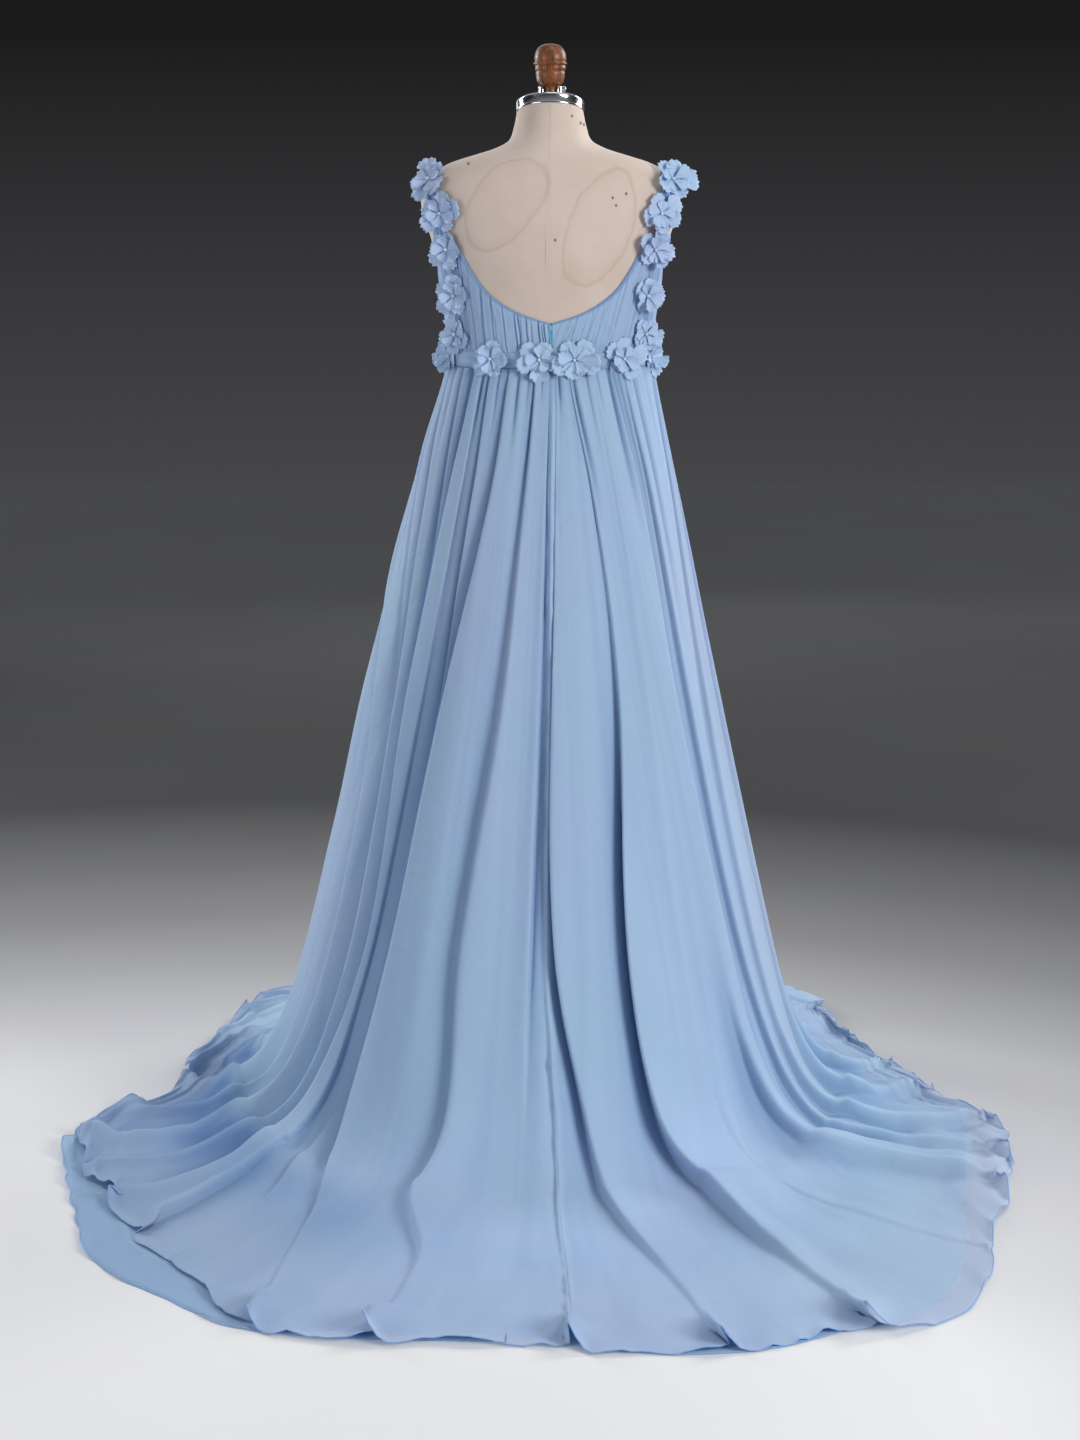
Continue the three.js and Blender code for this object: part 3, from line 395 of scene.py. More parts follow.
class MeshDraft:
    """Points, faces and their finish, in mm, gathered before they become one mesh."""

    def __init__(self) -> None:
        """Start with no points."""
        self.points: list[ndarray] = []
        self.cloth: list[ndarray] = []
        self.marks: list[ndarray] = []
        self.faces: list[ndarray] = []
        self.slots: list[ndarray] = []
        self.count = 0

    def add_points(self, grid: ndarray, cloth: ndarray | None,
                   marks: ndarray | None) -> ndarray:
        """Add points.

        Args:
            grid: points, in mm.
            cloth: where each point lies in the flat cloth, in mm, or None.
            marks: for each point how sheer the cloth is, which also paints it paler, and how much
                painted shade and streaks darken it, from 0 to 1, or None.

        Returns:
            Their numbers, in the grid's shape.
        """
        shape = grid.shape[:-1]
        total = int(np.prod(shape))
        numbers = np.arange(self.count, self.count + total).reshape(shape)
        self.points.append(grid.reshape(-1, 3))
        self.cloth.append(np.zeros((total, 2)) if cloth is None else cloth.reshape(-1, 2))
        self.marks.append(np.zeros((total, 2)) if marks is None else marks.reshape(-1, 2))
        self.count += total
        return numbers

    def add_faces(self, numbers: ndarray, slot: int = 0) -> None:
        """Add four-sided faces between the columns and rows of a grid.

        Args:
            numbers: the numbers of the grid's points.
            slot: the faces' finish.
        """
        corners = (numbers[:-1, :-1], numbers[1:, :-1], numbers[1:, 1:], numbers[:-1, 1:])
        quads = np.stack(corners, axis=-1).reshape(-1, 4)
        self.faces.append(quads)
        self.slots.append(np.full(len(quads), slot))

    def add_surface(self, grid: ndarray, slot: int = 0, cloth: ndarray | None = None,
                    marks: ndarray | None = None) -> None:
        """Add one surface through a grid of points."""
        self.add_faces(self.add_points(grid, cloth, marks), slot)

    def add_shell(self, outer: ndarray, inner: ndarray, slot: int = 0,
                  cloth: ndarray | None = None, marks: ndarray | None = None) -> None:
        """Add a closed sheet of cloth between two grids of points.

        Args:
            outer: points of the outer face, in mm.
            inner: points of the inner face, in mm.
            slot: the sheet's finish.
            cloth: where each point lies in the flat cloth, in mm, or None.
            marks: for each point how sheer the cloth is, which also paints it paler, and how much
                painted shade and streaks darken it, from 0 to 1, or None.
        """
        out = self.add_points(outer, cloth, marks)
        into = self.add_points(inner, cloth, marks)
        self.add_faces(out, slot)
        self.add_faces(into[::-1], slot)
        for edge in (0, -1):
            self.add_faces(np.stack((out[edge], into[edge])), slot)
            self.add_faces(np.stack((out[:, edge], into[:, edge])), slot)

    def add_tube(self, line: ndarray, radius: float, sides: int = 6, slot: int = 0,
                 closed: bool = False) -> None:
        """Add a round cord along a line of points.

        Args:
            line: the middle line, in mm.
            radius: of the cord.
            sides: of its section.
            slot: its finish.
            closed: True if the last point joins the first.
        """
        along = unit(np.gradient(line, axis=0))
        across = unit(np.cross(along, (0.02, 0.05, 1)))
        rise = np.cross(across, along)
        turn = np.linspace(0, 2 * math.pi, sides + 1)
        turn = turn[None, :, None]
        ring = np.cos(turn) * across[:, None] + np.sin(turn) * rise[:, None]
        grid = line[:, None] + radius * ring
        if not closed:
            ends = [np.repeat(line[k][None, None], sides + 1, axis=1) for k in (0, -1)]
            grid = np.concatenate((ends[0], grid, ends[1]))
        self.add_surface(grid, slot)

    def build(self, name: str, finishes: Sequence[Material], weld: float = 1e-6,
              body: str | None = BODY) -> Object:
        """Turn the draft into an object with a smooth mesh.

        Args:
            name: its name.
            finishes: its materials, by slot.
            weld: points nearer than this, in metres, become one.
            body: the body that it rides on, or None.

        Returns:
            The new object.
        """
        mesh = bpy.data.meshes.new(name)
        points = np.concatenate(self.points) * MM
        faces = np.concatenate(self.faces)
        mesh.from_pydata(points.tolist(), [], faces.tolist())
        mesh.polygons.foreach_set("material_index", np.concatenate(self.slots).astype(np.int32))
        corners = np.zeros(len(mesh.loops), np.int32)
        mesh.loops.foreach_get("vertex_index", corners)
        layer = mesh.uv_layers.new(name="cloth")
        layer.data.foreach_set("uv", (np.concatenate(self.cloth) * MM)[corners].ravel())
        marks = np.concatenate(self.marks)
        for k, label in enumerate(("sheer", "doubled")):
            attribute = mesh.attributes.new(label, "FLOAT", "POINT")
            attribute.data.foreach_set("value", marks[:, k].astype(np.float32))
        work = bmesh.new()
        work.from_mesh(mesh)
        bmesh.ops.remove_doubles(work, verts=work.verts, dist=weld)
        bmesh.ops.dissolve_degenerate(work, edges=work.edges, dist=1e-7)
        bmesh.ops.recalc_face_normals(work, faces=work.faces)
        for face in work.faces:
            face.smooth = True
        work.to_mesh(mesh)
        work.free()
        for finish in finishes:
            mesh.materials.append(finish)
        made = bpy.data.objects.new(name, mesh)
        bpy.context.scene.collection.objects.link(made)
        if body:
            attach(made, body)
        log.info("%s: %d faces", name, len(mesh.polygons))
        return made


# ---------------------------------------------------------------- finishes


def linear(colour: str, alpha: float = 1.0) -> tuple[float, float, float, float]:
    """Turn an sRGB hex colour into a linear one.

    Args:
        colour: the colour, as # and six hex digits.
        alpha: its alpha.

    Returns:
        Red, green, blue and alpha.
    """
    parts = [int(colour[i:i + 2], 16) / 255 for i in (1, 3, 5)]
    flat = [c / 12.92 if c <= 0.04045 else ((c + 0.055) / 1.055) ** 2.4 for c in parts]
    return (flat[0], flat[1], flat[2], alpha)


def add_node(tree: NodeTree, kind: str, inputs: dict | None = None,
             **settings: object) -> Node:
    """Add one node with its settings and links.

    Args:
        tree: where it goes.
        kind: its type, without the word ShaderNode.
        inputs: for each input, by name or number, its value, or the socket or node that feeds it.
            A node gives the first of its outputs that is in use.
        **settings: the node's own options.

    Returns:
        The node.
    """
    made = tree.nodes.new("ShaderNode" + kind)
    for key, value in settings.items():
        setattr(made, key, value)
    for key, value in (inputs or {}).items():
        if isinstance(value, Node):
            value = next(socket for socket in value.outputs if socket.enabled)
        if isinstance(value, NodeSocket):
            tree.links.new(value, made.inputs[key])
        else:
            made.inputs[key].default_value = value
    return made


def new_material(name: str) -> tuple[Material, NodeTree]:
    """Start a material.

    Args:
        name: what the real finish is called.

    Returns:
        The material and its empty node tree.
    """
    material = bpy.data.materials.new(name)
    material.use_nodes = True
    material.node_tree.nodes.clear()
    return material, material.node_tree


WAVE_PERIOD = 2 * math.pi / 20  # a wave texture of scale 1 repeats after this length


@dataclass(frozen=True)
class Chiffon:
    """Polyester chiffon: a plain weave of fine, hard-twisted thread.

    It looks matt and soft and see-through in one layer. Its colour carries painted shade in
    troughs, creases and gathers, painted light where it is sheer, and painted backlight, more
    green, at its sides.
    """

    name: str
    face: str = "#B9D2F0"
    # painted shade: the colour of troughs, creases and gathers, also of random streaks
    shade_tone: str = "#6B93C6"
    green_tint_and_backlight: str = "#B2D5E9"  # more green in random patches, and towards the sides as painted backlight
    rose: str = "#C4CCE8"  # where light comes through from behind
    thin: str = "#DFE7F3"  # painted light: paler where the cloth is marked sheer, for lit floor seen through one layer and for the lit side
    sheer: float = 0.45  # share that one layer lets through
    glow: float = 0.3  # share of light that shines through
    crinkle: float = 0.35  # strength of the crepe's relief
    thread: float = 1.4  # mm; the real one is 0.2, drawn coarser so that it shows
    crepe: tuple[float, float, float] = (120, 60, 1)  # crinkles to the metre, across and down

    def build(self) -> Material:
        """Make the material.

        Returns:
            The material, which reads how sheer and how doubled the cloth is from the mesh.
        """
        material, tree = new_material(self.name)
        place = add_node(tree, "TexCoord")
        flat, where = place.outputs["UV"], place.outputs["Object"]
        weave = self.weave(tree, flat)
        stretched = add_node(tree, "Mapping", {"Vector": flat, "Scale": self.crepe})
        crepe = add_node(tree, "TexNoise", {"Vector": stretched, "Scale": 1.0, "Detail": 3.0,
            "Roughness": 0.55})
        sheer = add_node(tree, "Attribute", attribute_name="sheer").outputs["Fac"]
        shown = self.tone(tree, where, sheer)
        height = add_node(tree, "Math", {0: weave, 1: 0.2, 2: crepe.outputs["Fac"]},
            operation="MULTIPLY_ADD")
        folds = add_node(tree, "TexNoise", {"Vector": where, "Scale": 17.0, "Detail": 4.0,
            "Roughness": 0.55, "Distortion": 0.8})
        soft = add_node(tree, "Bump", {"Height": folds, "Distance": 0.009, "Strength": 0.28})
        bump = add_node(tree, "Bump", {"Height": height, "Distance": 0.0006,
            "Strength": self.crinkle, "Normal": soft})
        rough = add_node(tree, "MapRange", {"Value": crepe, "To Min": 0.68, "To Max": 0.86})
        cloth = add_node(tree, "BsdfPrincipled", {"Base Color": shown, "Roughness": rough,
            "IOR": 1.46, "Specular IOR Level": 0.25, "Sheen Weight": 0.28, "Sheen Roughness": 0.45,
            "Sheen Tint": linear("#D6E2F6"), "Normal": bump})
        through = add_node(tree, "BsdfTranslucent", {"Color": shown, "Normal": bump})
        body = add_node(tree, "MixShader", {0: self.glow, 1: cloth, 2: through})
        opened = add_node(tree, "Math", {0: sheer, 1: self.sheer}, operation="MULTIPLY")
        clear = add_node(tree, "BsdfTransparent", {"Color": linear("#E4EDFA")})
        seen = add_node(tree, "MixShader", {0: opened, 1: body, 2: clear})
        add_node(tree, "OutputMaterial", {"Surface": seen})
        return material

    def weave(self, tree: NodeTree, flat: NodeSocket) -> Node:
        """Cross the warp and the weft.

        Args:
            tree: the material's nodes.
            flat: places in the flat cloth, in metres.

        Returns:
            The node that gives the height of the weave.
        """
        scale = WAVE_PERIOD / (self.thread * MM)
        warp, weft = (add_node(tree, "TexWave",
            {"Vector": flat, "Scale": scale, "Distortion": 3.0, "Detail": 2.0, "Detail Scale": 0.4},
            bands_direction=way).outputs["Fac"] for way in ("X", "Y"))
        return add_node(tree, "Math", {0: warp, 1: weft}, operation="MULTIPLY")

    def tone(self, tree: NodeTree, where: NodeSocket,
             sheer: NodeSocket) -> Node:
        """Mix the cloth's colours: greener outwards, rosy in places, deep where it lies double.

        Args:
            tree: the material's nodes.
            where: places in the object, in metres.
            sheer: how sheer the cloth is, which also paints it paler, as painted light.

        Returns:
            The node that gives the colour.
        """
        drift = add_node(tree, "TexNoise", {"Vector": where, "Scale": 3.2, "Detail": 1.0})
        cast_here = add_node(tree, "MapRange", {"Value": drift, "From Min": 0.42, "From Max": 0.68,
            "To Max": 0.4})
        spot = add_node(tree, "SeparateXYZ", {0: where})
        aside = add_node(tree, "Math", {0: spot}, operation="ABSOLUTE")
        # painted backlight: more green towards the sides
        outer = add_node(tree, "MapRange", {"Value": aside, "From Min": 0.22, "From Max": 0.5,
            "To Max": 0.65})
        greener = add_node(tree, "Math", {0: cast_here, 1: outer}, operation="MAXIMUM")
        rosy = add_node(tree, "MapRange", {"Value": drift, "From Min": 0.5, "From Max": 0.3,
            "To Max": 0.25})
        # painted shade in troughs, creases and gathers, with random streaks
        doubled = add_node(tree, "Attribute", attribute_name="doubled").outputs["Fac"]
        # painted light: paler where the cloth is marked sheer
        paler = add_node(tree, "Math", {0: sheer, 1: 0.95}, operation="MULTIPLY")
        tone = linear(self.face)
        for share, colour in ((greener, self.green_tint_and_backlight), (rosy, self.rose), (doubled, self.shade_tone),
                              (paler, self.thin)):
            tone = add_node(tree, "Mix", {"Factor": share, 6: tone, 7: linear(colour)},
                data_type="RGBA")
        return tone


@dataclass(frozen=True)
class Stain:
    """A dried water ring on the canvas: middle, half sizes in mm, and lean in degrees."""

    x: float
    z: float
    width: float
    height: float
    lean: float


@dataclass(frozen=True)
class Canvas:
    """Unbleached cotton canvas stretched over the form: a matt plain weave.

    It looks yellowed, with dried water rings and a few rust specks where pins went in.
    """

    name: str = "cotton canvas"
    face: str = "#D3C3B9"
    worn: str = "#C6B4A6"
    ring: str = "#A8876B"
    rust: str = "#5C1D12"
    thread: float = 1.6  # mm; the real one is 0.6, drawn coarser so that it shows
    stains: tuple[Stain, ...] = (
        Stain(65, 1391, 46, 77, 43),
        Stain(-74, 1355, 47, 90, 20),
    )
    specks: tuple[tuple[float, float], ...] = (  # places across and up the back, in mm
        (122, 1447), (-92, 1397), (-97, 1386), (-112, 1403), (-7, 1336), (-32, 1516), (-45, 1506),
        (-50, 1504),
    )
    speck_edge: float = 0.0024  # radius of the largest speck, in metres
    speck_core: float = 0.0009  # radius of its solid middle, in metres

    def build(self) -> Material:
        """Make the material.

        Returns:
            The material.
        """
        material, tree = new_material(self.name)
        place = add_node(tree, "TexCoord").outputs["Object"]
        scale = WAVE_PERIOD / (self.thread * MM)
        warp, weft = (add_node(tree, "TexWave",
            {"Vector": place, "Scale": scale, "Distortion": 0.6},
            bands_direction=way).outputs["Fac"] for way in ("X", "Z"))
        weave = add_node(tree, "Math", {0: warp, 1: weft}, operation="MULTIPLY")
        blotch = add_node(tree, "TexNoise", {"Vector": place, "Scale": 9.0, "Detail": 4.0,
            "Roughness": 0.6})
        aged = add_node(tree, "MapRange", {"Value": blotch, "From Min": 0.42, "From Max": 0.75,
            "To Max": 0.7})
        tone = add_node(tree, "Mix", {"Factor": aged, 6: linear(self.face), 7: linear(self.worn)},
            data_type="RGBA")
        wander = add_node(tree, "TexNoise", {"Vector": place, "Scale": 13.0, "Detail": 4.0})
        parts = add_node(tree, "SeparateXYZ", {0: place})
        behind = add_node(tree, "Math", {0: parts.outputs[1], 1: 0.0}, operation="GREATER_THAN")
        marks = [(self.ring_share(tree, place, wander, stain), self.ring) for stain in self.stains]
        marks += [(self.speck_share(tree, place, k), self.rust) for k in range(len(self.specks))]
        for share, colour in marks:
            shown = add_node(tree, "Math", {0: share, 1: behind}, operation="MULTIPLY")
            tone = add_node(tree, "Mix", {"Factor": shown, 6: tone, 7: linear(colour)},
                data_type="RGBA")
        height = add_node(tree, "Math", {0: weave, 1: 0.5, 2: blotch}, operation="MULTIPLY_ADD")
        bump = add_node(tree, "Bump", {"Height": height, "Distance": 0.0005, "Strength": 0.35})
        rough = add_node(tree, "MapRange", {"Value": blotch, "To Min": 0.8, "To Max": 0.95})
        cloth = add_node(tree, "BsdfPrincipled", {"Base Color": tone, "Roughness": rough,
            "Specular IOR Level": 0.2, "Sheen Weight": 0.15, "Normal": bump})
        add_node(tree, "OutputMaterial", {"Surface": cloth})
        return material

    def ring_share(self, tree: NodeTree, place: NodeSocket,
                   wander: Node, stain: Stain) -> Node:
        """Draw a water ring: a thin brown edge round a faint wash.

        Args:
            tree: the material's nodes.
            place: places in the object, in metres.
            wander: the noise that makes the ring uneven.
            stain: the ring.

        Returns:
            The node that gives how strongly the ring colours each point.
        """
        middle = (stain.x * MM, 0, stain.z * MM)
        shrink = (1 / (stain.width * MM), 0, 1 / (stain.height * MM))
        moved = add_node(tree, "VectorMath", {0: place, 1: middle}, operation="SUBTRACT")
        turned = add_node(tree, "VectorRotate", {"Vector": moved, "Axis": (0, 1, 0),
            "Angle": math.radians(stain.lean)}, rotation_type="AXIS_ANGLE")
        flat = add_node(tree, "VectorMath", {0: turned, 1: shrink}, operation="MULTIPLY")
        length = add_node(tree, "VectorMath", {0: flat}, operation="LENGTH")
        uneven = add_node(tree, "Math", {0: wander, 1: 0.62, 2: length}, operation="MULTIPLY_ADD")
        inside = add_node(tree, "Math", {0: uneven, 1: 1.31}, operation="SUBTRACT")
        edge = add_node(tree, "Math", {0: inside}, operation="ABSOLUTE")
        line = add_node(tree, "MapRange", {"Value": edge, "From Min": 0.08, "From Max": 0.0,
            "To Max": 0.2}, interpolation_type="SMOOTHSTEP")
        wash = add_node(tree, "MapRange", {"Value": inside, "From Min": 0.0, "From Max": -0.25,
            "To Min": 0.1, "To Max": 0.0})
        kept = add_node(tree, "Math", {0: inside, 1: 0.0}, operation="LESS_THAN")
        return add_node(tree, "Math", {0: wash, 1: kept, 2: line}, operation="MULTIPLY_ADD",
            use_clamp=True)

    def speck_share(self, tree: NodeTree, place: NodeSocket,
                    number: int) -> Node:
        """Draw a rust speck, a little taller than wide.

        Args:
            tree: the material's nodes.
            place: places in the object, in metres.
            number: the speck's number.

        Returns:
            The node that gives how strongly the speck colours each point.
        """
        x, z = self.specks[number]
        away = add_node(tree, "VectorMath", {0: place, 1: (x * MM, 0, z * MM)},
            operation="SUBTRACT")
        flat = add_node(tree, "VectorMath", {0: away, 1: (1, 0, 0.72)}, operation="MULTIPLY")
        length = add_node(tree, "VectorMath", {0: flat}, operation="LENGTH")
        return add_node(tree, "MapRange", {"Value": length, "To Max": 0.9,
            "From Min": self.speck_edge - 0.0002 * (number % 3), "From Max": self.speck_core})


@dataclass(frozen=True)
class Plated:
    """Chromium plate over brass, polished: bright and cool, with faint cleaning haze."""

    name: str = "chrome plate"
    colour: str = "#DADDE2"
    roughness: float = 0.09

    def build(self) -> Material:
        """Make the material.

        Returns:
            The material.
        """
        material, tree = new_material(self.name)
        place = add_node(tree, "TexCoord").outputs["Object"]
        haze = add_node(tree, "TexNoise", {"Vector": place, "Scale": 60.0, "Detail": 3.0})
        rough = add_node(tree, "MapRange", {"Value": haze, "From Min": 0.35, "From Max": 0.7,
            "To Min": self.roughness, "To Max": 2.4 * self.roughness})
        metal = add_node(tree, "BsdfPrincipled", {"Base Color": linear(self.colour),
            "Metallic": 1.0, "Roughness": rough})
        add_node(tree, "OutputMaterial", {"Surface": metal})
        return material


@dataclass(frozen=True)
class TurnedWood:
    """Turned hardwood under old varnish: long dark pores, amber colour, a clear soft gloss."""

    name: str = "varnished wood"
    light: str = "#8F4C12"
    dark: str = "#3F1F07"
    pore: float = 2.2  # mm between pore lines
    stretch: float = 0.09  # a pore's width as a share of its length

    def build(self) -> Material:
        """Make the material.

        Returns:
            The material.
        """
        material, tree = new_material(self.name)
        place = add_node(tree, "TexCoord").outputs["Object"]
        per_metre = 1 / (self.pore * MM)
        along = add_node(tree, "Mapping", {"Vector": place,
            "Scale": (per_metre, per_metre, self.stretch * per_metre)})
        grain = add_node(tree, "TexNoise", {"Vector": along, "Scale": 0.6, "Detail": 4.0,
            "Roughness": 0.6, "Distortion": 0.6})
        share = add_node(tree, "MapRange", {"Value": grain, "From Min": 0.36, "From Max": 0.66})
        tone = add_node(tree, "Mix", {"Factor": share, 6: linear(self.light), 7: linear(self.dark)},
            data_type="RGBA")
        bump = add_node(tree, "Bump", {"Height": grain, "Distance": 0.0003, "Strength": 0.25})
        rough = add_node(tree, "MapRange", {"Value": grain, "To Min": 0.42, "To Max": 0.6})
        wood = add_node(tree, "BsdfPrincipled", {"Base Color": tone, "Roughness": rough, "IOR": 1.5,
            "Coat Weight": 0.25, "Coat Roughness": 0.25, "Normal": bump})
        add_node(tree, "OutputMaterial", {"Surface": wood})
        return material


@dataclass(frozen=True)
class FleckedFinish:
    """A plain finish whose tone drifts between two colours over a fine grain."""

    name: str
    colour: str
    fleck: str
    grain: float  # swells of the grain to the metre
    detail: float
    shader: tuple[tuple[str, float], ...]  # the surface's uniform values
    relief: float = 0.0  # depth of the grain, in metres
    strength: float = 0.0  # of the relief

    def build(self) -> Material:
        """Make the material.

        Returns:
            The material.
        """
        material, tree = new_material(self.name)
        place = add_node(tree, "TexCoord").outputs["Object"]
        grain = add_node(tree, "TexNoise", {"Vector": place, "Scale": self.grain,
            "Detail": self.detail})
        tone = add_node(tree, "Mix", {"Factor": grain, 6: linear(self.colour),
            7: linear(self.fleck)}, data_type="RGBA")
        inputs = {"Base Color": tone, **dict(self.shader)}
        if self.relief:
            inputs["Normal"] = add_node(tree, "Bump", {"Height": grain, "Distance": self.relief,
                "Strength": self.strength})
        surface = add_node(tree, "BsdfPrincipled", inputs)
        add_node(tree, "OutputMaterial", {"Surface": surface})
        return material


@dataclass(frozen=True)
class RolledHem(FleckedFinish):
    """Chiffon rolled into a hair-line hem and overstitched.

    It looks a deeper blue, as four layers lie together, with the light and dark of the stitches.
    """

    name: str = "rolled hem"
    colour: str = "#6E9AD0"
    fleck: str = "#90B4E0"
    grain: float = 700.0
    detail: float = 1.0
    shader: tuple[tuple[str, float], ...] = (
        ("Roughness", 0.75), ("Specular IOR Level", 0.2), ("Sheen Weight", 0.2))
    relief: float = 0.0003
    strength: float = 0.5


@dataclass(frozen=True)
class StoveEnamel(FleckedFinish):
    """Cast iron and steel tube under black stove enamel: faint orange-peel and a low gloss."""

    name: str = "black stove enamel"
    colour: str = "#232427"
    fleck: str = "#33343A"
    grain: float = 260.0
    detail: float = 2.0
    shader: tuple[tuple[str, float], ...] = (("Roughness", 0.42), ("IOR", 1.5))
    relief: float = 0.0004
    strength: float = 0.3


@dataclass(frozen=True)
class DyedNylon(FleckedFinish):
    """Nylon coil and tape of a closed zip, dyed turquoise: a little shinier than the cloth."""

    name: str = "dyed nylon"
    colour: str = "#27ABD6"
    fleck: str = "#7AD0E4"
    grain: float = 500.0
    detail: float = 1.0
    shader: tuple[tuple[str, float], ...] = (("Roughness", 0.4), ("IOR", 1.53))


@dataclass(frozen=True)
class GlassPearl(FleckedFinish):
    """A glass bead under pearl lacquer: white and smooth, with a soft coat."""

    name: str = "glass pearl"
    colour: str = "#E9E7EA"
    fleck: str = "#DCD6E4"
    grain: float = 400.0
    detail: float = 2.0
    shader: tuple[tuple[str, float], ...] = (
        ("Roughness", 0.22), ("IOR", 1.55), ("Coat Weight", 0.6), ("Coat Roughness", 0.1))


@dataclass(frozen=True)
class StudioPaper:
    """Pale seamless paper under the object, matt and faintly mottled, with painted light: pale
    round the middle, darkest a little beyond and paler again far off.
    """

    name: str = "pale paper"
    # middle of the painted light
    middle: tuple[float, float, float] = (0.38, 1.1, 0.0)
    span: float = 10.0  # metres over which the tones are laid out
    painted_light_falloff: tuple[tuple[float, str], ...] = (  # painted light: metres from the middle, tone there
        (0.9, "#DEDEDF"), (1.45, "#B9B9BB"), (1.75, "#9B9B9D"), (2.1, "#7A7A7C"), (2.5, "#5F5F61"),
        (3.1, "#3B3B3D"), (3.8, "#444446"), (4.6, "#545456"), (5.4, "#69696B"), (6.2, "#838385"),
        (7.2, "#89898B"), (9.6, "#909092"),
    )

    def build(self) -> Material:
        """Make the material.

        Returns:
            The material.
        """
        material, tree = new_material(self.name)
        place = add_node(tree, "TexCoord").outputs["Object"]
        mottle = add_node(tree, "TexNoise", {"Vector": place, "Scale": 3.0, "Detail": 3.0})
        # painted light: the tone changes with distance from the middle
        apart = add_node(tree, "VectorMath", {0: place, 1: self.middle}, operation="DISTANCE")
        reach = add_node(tree, "Math", {0: apart, 1: 1 / self.span}, operation="MULTIPLY")
        shade = add_node(tree, "ValToRGB", {0: reach})
        fill_ramp(shade.color_ramp, [(apart / self.span, tone) for apart, tone in self.painted_light_falloff])
        tone = add_node(tree, "Mix", {"Factor": 0.06, 6: shade, 7: mottle.outputs["Color"]},
            data_type="RGBA", blend_type="SOFT_LIGHT")
        paper = add_node(tree, "BsdfPrincipled", {"Base Color": tone, "Roughness": 0.85,
            "Specular IOR Level": 0.2})
        add_node(tree, "OutputMaterial", {"Surface": paper})
        return material


def fill_ramp(ramp: ColorRamp, stops: Sequence[tuple[float, str]]) -> None:
    """Lay tones along a colour ramp.

    Args:
        ramp: the ramp, with its two first elements.
        stops: the place, from 0 to 1, and the sRGB colour of each tone, in order.
    """
    for element, (place, colour) in zip(ramp.elements, (stops[0], stops[-1])):
        element.position, element.color = place, linear(colour)
    for place, colour in stops[1:-1]:
        ramp.elements.new(place).color = linear(colour)


class Finishes:
    """Every finish of the object, made once."""

    def __init__(self) -> None:
        """Make the materials."""
        self.overlay = Chiffon("chiffon overlay").build()
        self.under = Chiffon("chiffon under layer", face="#B3CEEC", thin="#BDD6EB",
                             sheer=0.5).build()
        self.ruched = Chiffon("ruched chiffon", face="#B5D0F0", shade_tone="#648FCB", crinkle=0.6,
                              sheer=0.0).build()
        self.petals = Chiffon("petal chiffon", face="#BBD3F2", shade_tone="#9FBEEA", crinkle=0.6,
                              sheer=0.0, glow=0.12).build()
        self.hem = RolledHem().build()
        self.canvas = Canvas().build()
        self.chrome = Plated().build()
        self.wood = TurnedWood().build()
        self.enamel = StoveEnamel().build()
        self.zip = DyedNylon().build()
        self.pearl = GlassPearl().build()
        self.paper = StudioPaper().build()


# ---------------------------------------------------------------- the form's surface


class BodyShape:
    """The surface of the dress form, through its level sections."""

    def __init__(self) -> None:
        """Lay a curve through each column of the sections."""
        heights, *columns = zip(*FORM_SECTIONS)
        self.width, self.back, self.front, self.round, self.tilt = (
            curve(heights, column) for column in columns)

    def at(self, phi: ndarray, z: ndarray, off: ndarray) -> ndarray:
        """Give points of the surface.

        Args:
            phi: angles round the body, in degrees.
            z: heights.
            off: how far outside the surface, in mm.

        Returns:
            The points.
        """
        phi, z, off = np.broadcast_arrays(np.asarray(phi, float), z, off)
        turn = np.radians(phi)
        depth = np.where(np.cos(turn) > 0, self.back(z), self.front(z)) + off
        side = np.abs(np.sin(turn)) / (self.width(z) + off)
        along = np.abs(np.cos(turn)) / depth
        n = self.round(z)
        reach = (side ** n + along ** n) ** (-1 / n)
        return np.stack((-reach * np.sin(turn), reach * np.cos(turn), z), axis=-1)

    def outside(self, x: ndarray, y: ndarray, z: ndarray) -> ndarray:
        """Tell on which side of the surface points lie.

        Args:
            x: their places across the body.
            y: their places from front to back.
            z: their heights.

        Returns:
            0 on the surface, more outside it and less inside.
        """
        depth = np.where(np.asarray(y) > 0, self.back(z), self.front(z))
        n = self.round(z)
        return ((np.abs(x) / self.width(z)) ** n + (np.abs(y) / depth) ** n) ** (1 / n) - 1

    def normal(self, p: ndarray) -> ndarray:
        """Give the way out of the surface.

        Args:
            p: points on it.

        Returns:
            The unit normal at each point.
        """
        slopes = []
        for move in np.eye(3):
            above, below = (np.moveaxis(p + way * move, -1, 0) for way in (1, -1))
            slopes.append(self.outside(*above) - self.outside(*below))
        return unit(np.stack(slopes, axis=-1))


BODY_SHAPE = BodyShape()

# ---------------------------------------------------------------- dress form


def lathe(profile: Sequence[tuple[float, float]], sides: int = 72) -> ndarray:
    """Turn a profile round +Z.

    Args:
        profile: radius and height of each of its points, from the bottom up.
        sides: of the turned shape.

    Returns:
        A grid of points.
    """
    turn = np.linspace(0, 2 * math.pi, sides + 1)
    radius, height = np.array(profile, float).T
    x = radius[None] * np.cos(turn)[:, None]
    y = radius[None] * np.sin(turn)[:, None]
    return np.stack((x, y, np.broadcast_to(height, x.shape)), axis=-1)


def leant(grid: ndarray, degrees: float, z: float) -> ndarray:
    """Tip a grid about the X axis and lift it to a height."""
    turned = np.array(Matrix.Rotation(math.radians(degrees), 3, "X"))
    return grid @ turned.T + np.array((0, 0, z))


